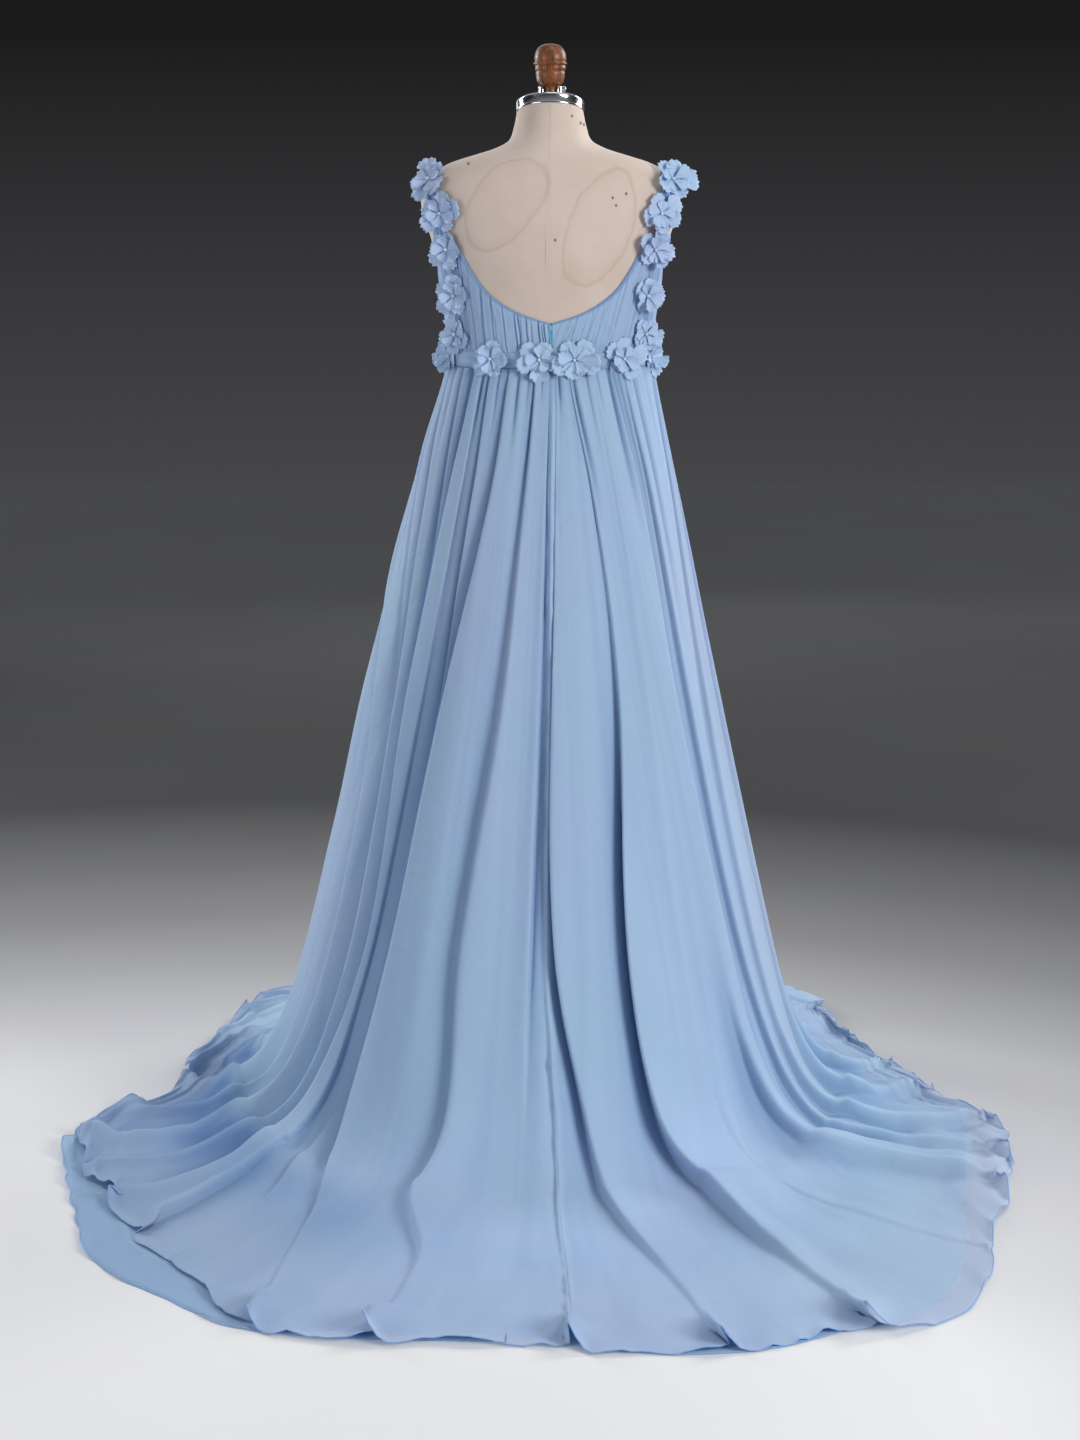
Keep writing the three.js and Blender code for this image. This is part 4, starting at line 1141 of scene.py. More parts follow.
@dataclass
class DressForm:
    """The canvas torso with its chrome neck cap, wooden knob and iron stand."""

    finishes: Finishes
    neck_seam_z: float = 1505.0
    welt: float = 0.35  # height of the sewn seams
    cap_profile: tuple[tuple[float, float], ...] = (
        (0, 0), (48, 0), (50.2, 0.3), (51, 1.6), (50.6, 3.2), (50.4, 5), (50.4, 12.6), (50.7, 14),
        (50.3, 15.8), (49, 16.8), (46, 17.2), (30, 17.6), (0, 17.8),
    )
    knob_profile: tuple[tuple[float, float], ...] = ((0, 0), (11.2, 0), (12.2, 0.8), (12, 3),
                                                     (11.3, 7.5), (11.8, 10.5), (13.4, 13.4),
                                                     (16.6, 15.4), (18.8, 17.2), (20, 20),
                                                     (20.9, 25), (21.5, 30), (21.8, 33.2),
                                                     (21.2, 34), (21.3, 34.8), (22.2, 35.6),
                                                     (22.8, 39), (23, 41.6), (22.2, 42.4),
                                                     (22.4, 43.2), (24, 43.9), (25, 45.5),
                                                     (24.4, 47.2), (23, 48.2), (22.9, 49),
                                                     (23.5, 50), (23.6, 54), (23.1, 58), (22.1, 62),
                                                     (20.2, 66), (17.2, 69.6), (12.6, 72.6),
                                                     (7, 74.1), (0, 74.5),)

    def build(self) -> None:
        """Make every piece of the form and dress the iron ones."""
        self.build_torso()
        self.build_cap()
        self.build_collar()
        self.build_knob()
        for node in ("stand_base", "stand_pole", "form_flange"):
            dress_node(node, self.finishes.enamel)
        dress_node("set_screw", self.finishes.chrome)

    def build_torso(self) -> None:
        """Make the canvas torso with its centre-back and neck seams."""
        beside = np.array([0.3, 0.6, 0.9, 1.2, 1.6, 2.2, 3, 4])  # degrees from the seam
        phi = np.concatenate((-beside[::-1], [0], beside, np.arange(6, 355, 2.0), [356.0]))
        z = np.concatenate((np.linspace(780, 1400, 60), np.linspace(1404, 1521.5, 64)))
        welts, ditch = np.exp(-((np.abs(phi) - 0.75) / 0.3) ** 2), np.exp(-(phi / 0.3) ** 2)
        seam = self.welt * (welts - 0.8 * ditch)
        collar_seam = self.welt * np.exp(-((z - self.neck_seam_z) / 1.4) ** 2)
        off = seam[:, None] + collar_seam[None] * 0.8
        uneven = 0.5 * ripple(phi[:, None] / 14, z[None] / 40, 3)
        off = off + uneven * smooth(np.abs(phi[:, None] - 180), 2, 20)
        grid = BODY_SHAPE.at(phi[:, None], z[None], off)
        grid[..., 2] += grid[..., 1] * np.tan(np.radians(BODY_SHAPE.tilt(z)))[None]
        low = np.broadcast_to(np.array((0, 0, z[0])), grid[:, :1].shape)
        high = np.broadcast_to(np.array((0, 0, z[-1])), grid[:, :1].shape)
        draft = MeshDraft()
        draft.add_surface(np.concatenate((low, grid, high), axis=1))
        torso = draft.build("canvas_torso", [self.finishes.canvas], weld=1e-5)
        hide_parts("form_torso")

    def build_cap(self) -> None:
        """Make the polished cap that closes the sloping neck."""
        draft = MeshDraft()
        draft.add_surface(leant(lathe(self.cap_profile, 96), CAP_TILT, CAP_BOTTOM_Z))
        cap = draft.build("chrome_neck_cap", [self.finishes.chrome], weld=1e-5)
        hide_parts("neck_cap")

    def build_collar(self) -> None:
        """Make the collar on the cap and the two curved cheeks that hold the knob's stem."""
        slope = math.tan(math.radians(CAP_TILT))
        foot = CAP_BOTTOM_Z + CAP_HEIGHT / math.cos(math.radians(CAP_TILT))
        height = COLLAR_TOP_Z - foot
        boss = lathe(((0, 0), (COLLAR_RADIUS, 0), (COLLAR_RADIUS, 4), (17.6, height - 0.6),
                      (16.8, height), (0, height)), 64)
        boss[..., 2] += foot
        boss[:, :2, 2] += boss[:, :2, 1] * slope
        draft = MeshDraft()
        draft.add_surface(boss)
        spread = np.radians(np.linspace(-52, 52, 25))
        rise = np.concatenate(([0.0], np.linspace(1, CHEEK_HEIGHT, 9)))
        for middle in (0.0, math.pi):
            height = rise[None] * (1 - 0.25 * (np.abs(spread[:, None]) / spread[-1]) ** 3)
            walls = []
            for radius in (COLLAR_RADIUS, COLLAR_RADIUS - 2):
                drawn = radius - 0.25 * smooth(rise, CHEEK_HEIGHT - 1.2, CHEEK_HEIGHT)[None]
                x = drawn * np.cos(spread + middle)[:, None]
                y = drawn * np.sin(spread + middle)[:, None]
                walls.append(np.stack((x, y, COLLAR_TOP_Z - 1 + height), axis=-1))
            draft.add_shell(walls[0], walls[1])
        collar = draft.build("chrome_collar", [self.finishes.chrome], weld=1e-5)
        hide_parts("collar")

    def build_knob(self) -> None:
        """Make the turned wooden knob."""
        draft = MeshDraft()
        grid = lathe(self.knob_profile, 72)
        grid[..., 2] += COLLAR_TOP_Z + SEAM
        draft.add_surface(grid)
        knob = draft.build("turned_knob", [self.finishes.wood], weld=1e-5)
        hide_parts("knob")


def dress_node(name: str, material: Material) -> None:
    """Give a CAD node that stays in view its finish.

    Args:
        name: the node's name.
        material: the finish.
    """
    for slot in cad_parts[name].material_slots:
        slot.material = material
    log.info("%s: finished as %s", name, material.name)


# ---------------------------------------------------------------- bodice, band, zip


class Ruching(Enum):
    """How a panel of the bodice is gathered."""

    UPRIGHT = "upright"
    SLANTED = "slanted"
    FRONT = "front"


class Ruche(NamedTuple):
    """A gather of the bodice: step and slant in degrees, depth and half width in mm."""

    step: float
    slant: float
    depth: float
    width: float


RUCHES = {  # the mean gather of each kind
    Ruching.UPRIGHT: Ruche(3.9, -3.0, 2.1, 1.05),
    Ruching.SLANTED: Ruche(2.3, 11.0, 1.1, 0.8),
    Ruching.FRONT: Ruche(4.2, 0.0, 2.2, 1.5),
}


@dataclass
class BodicePanel:
    """One fitted panel of ruched chiffon between the band and the neckline.

    Attributes:
        name: its name.
        node: the CAD node that it stands for.
        first, last: angles of its edges, in degrees.
        ruching: how its gathers run.
        seed: for the places of its gathers.
        width, height: its size in mm, once it is built.
    """

    name: str
    node: str
    first: float
    last: float
    ruching: Ruching
    seed: int
    width: float = 0.0
    height: float = 0.0

    def gathers(self) -> list[tuple[float, float, float, float]]:
        """Place the panel's gathers.

        Returns:
            Each one's angle at the band and slant, in degrees, and its depth and half width, in mm.
        """
        pick = random.Random(self.seed)
        mean = RUCHES[self.ruching]
        placed = []
        phi = self.first - abs(mean.slant)
        while phi < self.last + abs(mean.slant):
            phi += mean.step * pick.choice((0.4, 0.7, 1.0, 1.4, 1.8)) * pick.uniform(0.8, 1.2)
            placed.append((phi, mean.slant * pick.uniform(0.6, 1.35),
                           mean.depth * pick.uniform(0.45, 1.2),
                           mean.width * pick.uniform(0.7, 1.3)))
        return placed

    def relief(self, phi: ndarray, share: ndarray, radius: float) -> ndarray:
        """Give how far the cloth stands off its flat place.

        Args:
            phi: angles round the body, in degrees.
            share: how far up the panel, from 0 to 1.
            radius: of the body there, in mm.

        Returns:
            The height at each point, in mm.
        """
        loft = np.full(np.broadcast(phi, share).shape, 2.0)
        pick = random.Random(self.seed + 1)
        for at, slant, depth, width in self.gathers():
            wander = 0.35 * np.sin(share * pick.uniform(3, 7) + pick.uniform(0, 6))
            away = np.radians(phi - at - slant * share - wander) * radius
            reach = 1 - 0.55 * smooth(share, pick.uniform(0.35, 0.95), 1.15)
            loft = loft - depth * reach * np.exp(-(away / width) ** 2)
            beside = np.exp(-((away - 2.6 * width) / (1.4 * width)) ** 2)
            loft = loft + 0.35 * depth * reach * beside
        loft = loft + 0.25 * ripple(phi / 2.2, share * 5, self.seed)
        return np.maximum(loft, -0.2) * (0.25 + 0.75 * smooth(share, 1.0, 0.9))

    def build(self, finishes: Finishes) -> Object:
        """Make the panel with its turned neckline edge.

        Args:
            finishes: the materials.

        Returns:
            The panel.
        """
        gap = BUST_GAP if self.ruching is Ruching.FRONT else SKIN_GAP
        columns = int((self.last - self.first) / (0.6 if self.ruching is Ruching.FRONT else 0.4))
        phi = np.linspace(self.first, self.last, columns)[:, None]
        share = np.linspace(0, 1, 26)[None]
        places, heights = zip(*BODICE_TOP)
        top = curve(places, heights)(np.where(phi > 180, 360 - phi, np.abs(phi)))
        low = BAND_TOP_Z - 1.5
        z = low + (top - low) * share
        lift = self.relief(phi, share, float(BODY_SHAPE.width(1230)) * 0.8)
        outer = BODY_SHAPE.at(phi, z, gap + CLOTH_WALL + lift)
        inner = BODY_SHAPE.at(phi, z, gap + np.minimum(lift + 0.4, 0.0))
        run = np.cumsum(np.r_[0, np.linalg.norm(np.diff(outer[:, 10], axis=0), axis=1)])
        cloth = np.stack(np.broadcast_arrays(run[:, None], z), axis=-1)
        # painted shade: darker in the hollows of the gathers
        doubled = np.clip(0.95 - lift * 0.5, 0, 1)
        marks = np.stack((np.zeros_like(doubled), doubled), axis=-1)
        draft = MeshDraft()
        draft.add_shell(outer, inner, 0, cloth, marks)
        edge = BODY_SHAPE.at(phi[:, 0], top[:, 0], gap + 0.55 * CLOTH_WALL)
        draft.add_tube(edge, 0.4, 6, 0)
        draft.marks[-1][:, 1] = 0.15
        piece = draft.build(self.name, [finishes.ruched])
        self.width = float(run[-1])
        self.height = float(np.max(top) - low)
        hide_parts(self.node)
        return piece


def bodice_panels() -> list[BodicePanel]:
    """Lay out the bodice.

    Returns:
        Its three panels, not yet built.
    """
    zip_at = math.degrees(math.atan(ZIP_EDGE / (float(BODY_SHAPE.back(BAND_TOP_Z)) + SKIN_GAP)))
    rows = (
        ("back_left", -SIDE_SEAM, -zip_at, Ruching.UPRIGHT, 11),
        ("back_right", zip_at, SIDE_SEAM, Ruching.SLANTED, 23),
        ("front", SIDE_SEAM, 360 - SIDE_SEAM, Ruching.FRONT, 37),
    )
    return [BodicePanel(f"ruched_{place}", f"bodice_{place}", *row) for place, *row in rows]


@dataclass
class Waistband:
    """The plain band under the bust that carries the gathers and the flowers."""

    finishes: Finishes

    def build(self) -> Object:
        """Make the band as one folded strip with soft level creases.

        Returns:
            The band.
        """
        phi = np.linspace(0.1, 359.9, 320)[:, None]
        share = np.linspace(0, 1, 15)[None]
        z = WAIST_Z - 1.2 + (BAND_TOP_Z + 3.6 - WAIST_Z) * share
        crease = 0.5 * ripple(phi / 9, share * 6, 51)
        crease = crease + 0.35 * np.cos(share * 2 * math.pi * 2.5 + phi / 20)
        round_edge = 1.2 * (1 - (2 * share - 1) ** 6)
        off = SKIN_GAP + BAND_WALL + 0.3 + round_edge + crease * (1 - (2 * share - 1) ** 4)
        outer = BODY_SHAPE.at(phi, z, off)
        inner = BODY_SHAPE.at(phi, z, SKIN_GAP + 1.6 + 0 * off)
        run = np.radians(phi) * 128
        cloth = np.stack(np.broadcast_arrays(z - WAIST_Z, run), axis=-1)
        draft = MeshDraft()
        draft.add_shell(outer, inner, 0, cloth)
        band = draft.build("empire_band", [self.finishes.ruched])
        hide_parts("waistband")
        return band


@dataclass
class BackZip:
    """The closed zip at the centre back, from the neckline down to the band."""

    finishes: Finishes
    pitch: float = 1.3  # mm between coil turns; the real one is about 0.9, drawn coarser
    half: float = 2.3  # half the width of the tape that shows
    cord: float = 0.5  # radius of the coil
    low: float = BAND_TOP_Z - 2
    high: float = BODICE_TOP[0][1] - 2.0

    def sway(self, z: ndarray) -> ndarray:
        """Give how far the zip strays from the middle at some heights, in mm."""
        return 0.45 * np.sin((z - self.low) / 4.2) + 0.2 * np.sin((z - self.low) / 1.9)

    def build(self) -> Object:
        """Make the tape and the two interlocked rows of coil, and finish the slider.

        Returns:
            The zip.
        """
        z = np.arange(self.low, self.high, 0.65)
        sway = self.sway(z)
        draft = MeshDraft()
        x = np.linspace(-self.half, self.half, 5)
        plane = BODY_SHAPE.back(z) + SKIN_GAP + 2.6
        outer = np.stack(np.broadcast_arrays(x[:, None] + sway, plane, z), axis=-1)
        inner = outer - np.array((0, 0.9, 0))
        cloth = np.stack((outer[..., 0], outer[..., 2]), axis=-1)
        draft.add_shell(outer, inner, 0, cloth)
        turns = np.arange(self.low + 1, self.high - 0.5, self.pitch)
        for k, at in enumerate(turns):
            side = 1 if k % 2 else -1
            drift = float(self.sway(at))
            depth = float(BODY_SHAPE.back(at)) + SKIN_GAP + 2.8
            start = np.array((drift - side * 0.5, depth, at))
            end = np.array((drift + side * 1.5, depth, at + 0.25))
            line = start + (end - start) * np.linspace(0, 1, 4)[:, None]
            draft.add_tube(line, self.cord)
        strip = draft.build("zip_coil", [self.finishes.zip])
        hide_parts("zip_tape")
        dress_node("zip_slider", self.finishes.zip)
        return strip


# ---------------------------------------------------------------- straps


@dataclass
class Strap:
    """A gathered shoulder strap over one shoulder, sewn into the band at the back and the front.

    Attributes:
        side: the wearer's side that it is on.
        length: in mm, once it is built.
    """

    side: Side
    length: float = 0.0

    @property
    def label(self) -> str:
        """The side's name."""
        return self.side.name.lower()

    @staticmethod
    def on_form(side: Side, face: Face, z: float, inset: float = 0.0) -> ndarray:
        """Find the form's surface under a strap.

        Args:
            side: the strap's side.
            face: the back or the front.
            z: the height.
            inset: how far inside the strap's middle line, in mm.

        Returns:
            The point of the form.
        """
        x = float(curve(*zip(*STRAP_LINES[face]))(z)) - inset
        n = float(BODY_SHAPE.round(z))
        depth = float(BODY_SHAPE.back(z)) if face is Face.BACK else -float(BODY_SHAPE.front(z))
        y = depth * (1 - (x / float(BODY_SHAPE.width(z))) ** n) ** (1 / n)
        return np.array((side.value * x, y, z))

    @staticmethod
    def lift(p: ndarray) -> ndarray:
        """Give the room between the form and a strap: more where it lies on the bodice.

        Args:
            p: points of the form.

        Returns:
            How far the strap's inner face is from each of them, in mm.
        """
        under = np.where(p[..., 1] > 0, SKIN_GAP, BUST_GAP) + CLOTH_WALL + 1.3
        high = smooth(p[..., 2], 1325, 1375)
        return under * (1 - high) + SKIN_GAP * high

    def line(self) -> ndarray:
        """Follow the strap up the back and down the front.

        Returns:
            Evenly spaced points of the form under it.
        """
        top = STRAP_LINES[Face.BACK][-1][0]
        heights = np.linspace(BAND_TOP_Z - 4, top, 60)
        back = [self.on_form(self.side, Face.BACK, z) for z in heights]
        front = [self.on_form(self.side, Face.FRONT, z) for z in heights[::-1]]
        over = []
        for t in np.linspace(0, 1, 26)[1:-1]:
            point = back[-1] * (1 - t) + front[0] * t
            below, above = top - 4, 1460.0  # the shoulder lies between them
            for _ in range(24):
                middle = (below + above) / 2
                if BODY_SHAPE.outside(point[0], point[1], middle) > 0:
                    above = middle
                else:
                    below = middle
            over.append(np.array((point[0], point[1], above)))
        dense = np.array(back + over + front)
        run = np.r_[0, np.cumsum(np.linalg.norm(np.diff(dense, axis=0), axis=1))]
        self.length = float(run[-1])
        even = np.linspace(0, run[-1], 150)
        return np.stack([np.interp(even, run, dense[:, k]) for k in range(3)], axis=-1)

    def build(self, finishes: Finishes) -> Object:
        """Make the strap with its soft lengthwise gathers.

        Args:
            finishes: the materials.

        Returns:
            The strap.
        """
        line = self.line()
        normal = BODY_SHAPE.normal(line)
        along = unit(np.gradient(line, axis=0))
        across = unit(np.cross(along, normal))
        run = np.linspace(0, self.length, len(line))
        share = np.linspace(-1, 1, 19)
        half = STRAP_WIDTH / 2 * (1 + 0.05 * ripple(run / 30, 0, 60 + self.side.value))
        fold = 0.8 * ripple(share[None] * 4.5, run[:, None] / 45, 70 + self.side.value)
        crown = 1.1 * (1 - share[None] ** 4) + fold * (1 - share[None] ** 6)
        reach = share[None, :, None] * half[:, None, None] * across[:, None]
        floor = self.lift(line)[:, None, None]
        above = floor + CLOTH_WALL * 0.7 + crown[..., None]
        outer = line[:, None] + reach + normal[:, None] * above
        inner = line[:, None] + reach + normal[:, None] * floor
        cloth = np.stack(np.broadcast_arrays(share[None] * STRAP_WIDTH / 2, run[:, None]), axis=-1)
        # painted shade: darker in the hollows of the gathers, over an even tone
        marks = np.stack((0 * crown, np.clip(0.35 - 0.3 * fold, 0, 0.7)), axis=-1)
        draft = MeshDraft()
        draft.add_shell(outer, inner, 0, cloth, marks)
        piece = draft.build(f"shoulder_strap_{self.label}", [finishes.ruched])
        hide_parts(f"strap_{self.label}")
        return piece


# ---------------------------------------------------------------- flowers


FLOWER_INSET = {  # from the strap's middle line towards the middle of the body
    Face.BACK: (6.0, 8.0, 9.0, 8.0, 0.0),
    Face.FRONT: (4.0, 4.0, 4.0, 4.0),
}
FLOWER_RADIUS = {
    Face.BACK: (30.0, 31.0, 32.0, 34.0, 37.0),
    Face.FRONT: (29.0, 29.0, 30.0, 32.0),
}
BAND_FLOWER_RADIUS = {
    Face.BACK: (30.0, 31.0, 34.0, 36.0, 34.0, 31.0),
    Face.FRONT: (30.0, 31.0, 32.0, 31.0, 33.0, 30.0),
}


class Seat(NamedTuple):
    """Where a flower is sewn on: its CAD node, the point, the way it looks and its radius in mm."""

    node: str
    at: ndarray
    normal: ndarray
    radius: float


def flower_seats() -> list[Seat]:
    """Find the seat of every flower, on the straps and round the band.

    Returns:
        The seats.
    """
    seats = []
    for side in Side:
        for face, heights in STRAP_FLOWERS.items():
            sewn = zip(heights, FLOWER_INSET[face], FLOWER_RADIUS[face])
            for number, (z, inset, radius) in enumerate(sewn, start=1):
                spot = Strap.on_form(side, face, z, inset)
                normal = BODY_SHAPE.normal(spot)
                at = spot + normal * (float(Strap.lift(spot)) + CLOTH_WALL + 1.2)
                node = f"flower_{side.name.lower()}_{face.value}_{number}"
                seats.append(Seat(node, at, normal, radius))
    middle = WAIST_Z + 0.55 * (BAND_TOP_Z - WAIST_Z)
    for face, places in BAND_FLOWERS.items():
        for number, (phi, radius) in enumerate(zip(places, BAND_FLOWER_RADIUS[face]), start=1):
            at = BODY_SHAPE.at(phi, middle, SKIN_GAP + BAND_WALL + 1.6)
            normal = BODY_SHAPE.normal(at)
            seats.append(Seat(f"flower_band_{face.value}_{number}", at, normal, radius))
    return seats


@dataclass
class FabricFlower:
    """A hand-made flower of two rings of frayed chiffon petals with a pearl at its heart.

    Attributes:
        seat: where it is sewn on.
        seed: for the turn, tilt and ruffles of its petals.
        pearl: radius of the pearl, in mm.
        petals: in each ring.
        turned_out: how far it turns from its seat towards the back or the front.
    """

    seat: Seat
    seed: int
    pearl: float = 2.3
    petals: int = 5
    turned_out: float = 0.9

    def petal(self, pick: random.Random, length: float, turn: float,
              rise: float) -> tuple[ndarray, ndarray]:
        """Shape one petal.

        Args:
            pick: the flower's own random numbers.
            length: from the heart to the tip, in mm.
            turn: the way it points, in radians.
            rise: how steeply it stands, in radians.

        Returns:
            Its points, and the painted shade and streaks at each.
        """
        side = np.linspace(-1, 1, 25)[:, None]
        out = np.array((0, 0.16, 0.36, 0.56, 0.74, 0.89, 1))[None]
        spread = math.radians(pick.uniform(32, 39)) * (0.45 + 0.55 * out ** 0.7)
        swings = side * math.pi * pick.uniform(2.2, 3.2) + pick.uniform(0, 3)
        scallops = np.abs(np.sin(swings)) ** 0.7 - 0.65
        frayed = np.array([pick.uniform(-0.04, 0.04) for _ in range(25)])[:, None]
        tip = 1 - 0.2 * side ** 2 - 0.16 * np.abs(side) ** 7 + 0.085 * scallops + frayed
        radius = length * out * (1 + (tip - 1) * out ** 4)
        angle = turn + side * spread
        curl = pick.uniform(-0.12, 0.16)
        phase, waves = pick.uniform(0, 6.28), pick.uniform(1.2, 2.2)
        sides_up = pick.uniform(0.02, 0.16)
        cup = length * (math.tan(rise) * out + curl * out ** 3 + sides_up * side ** 2 * out)
        ruffle = 0.04 * length * np.sin(side * 0.8 * math.pi + phase) * out ** 1.5
        rim = 0.028 * length * np.sin(side * waves * 1.5 * math.pi + phase) * smooth(out, 0.65, 1)
        crease = -0.012 * length * np.exp(-(side / 0.14) ** 2) * np.sin(out * math.pi)
        z = 0.8 + cup + ruffle + rim + crease
        points = np.stack((radius * np.cos(angle), radius * np.sin(angle), z), axis=-1)
        # painted shade towards the heart, where the petals overlap, with random streaks
        doubled = 0.35 * (1 - out) ** 2 + 0.12 * ripple(side * 3, out * 3, self.seed)
        return points, np.clip(doubled, 0, 1)

    def clear_of_seat(self, points: ndarray) -> ndarray:
        """Bend petals that would sink into the cloth back onto it.

        Args:
            points: of the petals, with the seat at the origin.

        Returns:
            The points, bent back.
        """
        height = points @ self.seat.normal
        raised = 0.5 * (height + 0.5 + np.sqrt((height - 0.5) ** 2 + 2.0))
        return points + (raised - height)[:, None] * self.seat.normal

    def build(self, finishes: Finishes) -> Object:
        """Make the flower on its seat.

        Args:
            finishes: the materials.

        Returns:
            The flower.
        """
        pick = random.Random(self.seed)
        draft = MeshDraft()
        start = pick.uniform(0, 6.28)
        radius = self.seat.radius
        rings = ((radius, 0.0, 0.06), (0.7 * radius, 0.63, pick.uniform(0.15, 0.4)))
        for ring, (length, offset, rise) in enumerate(rings):
            for k in range(self.petals):
                step = k + pick.uniform(-0.12, 0.12)
                turn = start + offset + step * 2 * math.pi / self.petals
                tall = rise + pick.uniform(-0.1, 0.24)
                size = length * pick.uniform(0.8, 1.08)
                outer, doubled = self.petal(pick, size, turn, tall)
                outer[..., 2] += 1.3 * ring + 0.3 * k
                inner = outer - np.array((0, 0, 0.45))
                marks = np.stack((0 * doubled, doubled), axis=-1)
                draft.add_shell(outer, inner, 0, outer[..., :2] + 40 * k, marks)
        turns = np.linspace(0, math.pi, 9)
        ball = [(self.pearl * math.sin(t), -self.pearl * math.cos(t)) for t in turns]
        bead = lathe(ball, 14)
        bead[..., 2] += self.pearl + 3.6
        draft.add_surface(bead, 1)
        tilt = Vector([pick.uniform(-0.16, 0.16) for _ in range(3)])
        outwards = Vector((0, self.turned_out * math.copysign(1, self.seat.at[1]), 0.12))
        way = (Vector(self.seat.normal) + tilt + outwards).normalized()
        turned = np.array(Vector((0, 0, 1)).rotation_difference(way).to_matrix())
        draft.points = [self.clear_of_seat(p @ turned.T) + self.seat.at for p in draft.points]
        name = self.seat.node.replace("flower", "petals")
        piece = draft.build(name, [finishes.petals, finishes.pearl], weld=1e-7)
        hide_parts(self.seat.node)
        return piece


# ---------------------------------------------------------------- skirt


class Hang(NamedTuple):
    """Where a smooth skirt would lie.

    Attributes:
        point: its points.
        normal: the way out at each.
        reach: each one's distance from the axis.
        run: each one's way along the cloth from the band.
    """

    point: ndarray
    normal: ndarray
    reach: ndarray
    run: ndarray


class Lay(NamedTuple):
    """Where the points of the smooth overlay lie.

    Attributes:
        phi: angle of each, in degrees, rising with the columns.
        near: the same between -180 and 180.
        v: share of the way down.
        hang: the smooth skirt.
        across: way round it from the centre seam, in mm.
        from_hem: distance from the hem, in mm.
        even: 0 where the skirt closes at the front, 1 elsewhere.
        side: 1 at the sides of the train, where the cloth lies in rolls, 0 at its centre.
    """

    phi: ndarray
    near: ndarray
    v: ndarray
    hang: Hang
    across: ndarray
    from_hem: ndarray
    even: ndarray
    side: ndarray


class Relief(NamedTuple):
    """How the folds shape the overlay.

    Attributes:
        height: over the level of the troughs, in mm.
        lean: how far the cloth leans sideways, in mm.
        trough: share of a trough.
        push: how far the hem is pushed out, in mm.
    """

    height: ndarray
    lean: ndarray
    trough: ndarray
    push: ndarray


@dataclass(frozen=True)
class FoldSides:
    """How one fold fades to both sides of its lit edge.

    Attributes:
        away: how far each point is from the edge, in mm, less than 0 on its left.
        steep: width of the steep face on the edge's left, in mm.
        flip: whether the trough lies on the edge's right.
    """

    away: ndarray
    steep: ndarray
    flip: bool

    def fade(self, right: bool, size: ndarray | float, power: float) -> ndarray:
        """Fade from 1 to 0 on one side.

        Args:
            right: True from the edge to the right, False from the foot of the steep face leftwards.
            size: how far the fold reaches, in mm.
            power: how abruptly it ends.

        Returns:
            The share at each point.
        """
        left = np.maximum(-self.away, 0)
        climb = smooth(left / self.steep, 0, 1)
        if right:
            beyond = np.exp(-(np.maximum(self.away, 0) / size) ** power)
            return np.where(self.away < 0, 1 - climb, beyond)
        past = np.maximum(left - self.steep, 0)
        return (self.away < 0) * climb * np.exp(-(past / size) ** power)

    def high(self, size: ndarray | float, power: float) -> ndarray:
        """Fade on the side where the fold stands up; see fade."""
        return self.fade(not self.flip, size, power)

    def low(self, size: ndarray | float, power: float) -> ndarray:
        """Fade on the side of the trough; see fade."""
        return self.fade(self.flip, size, power)


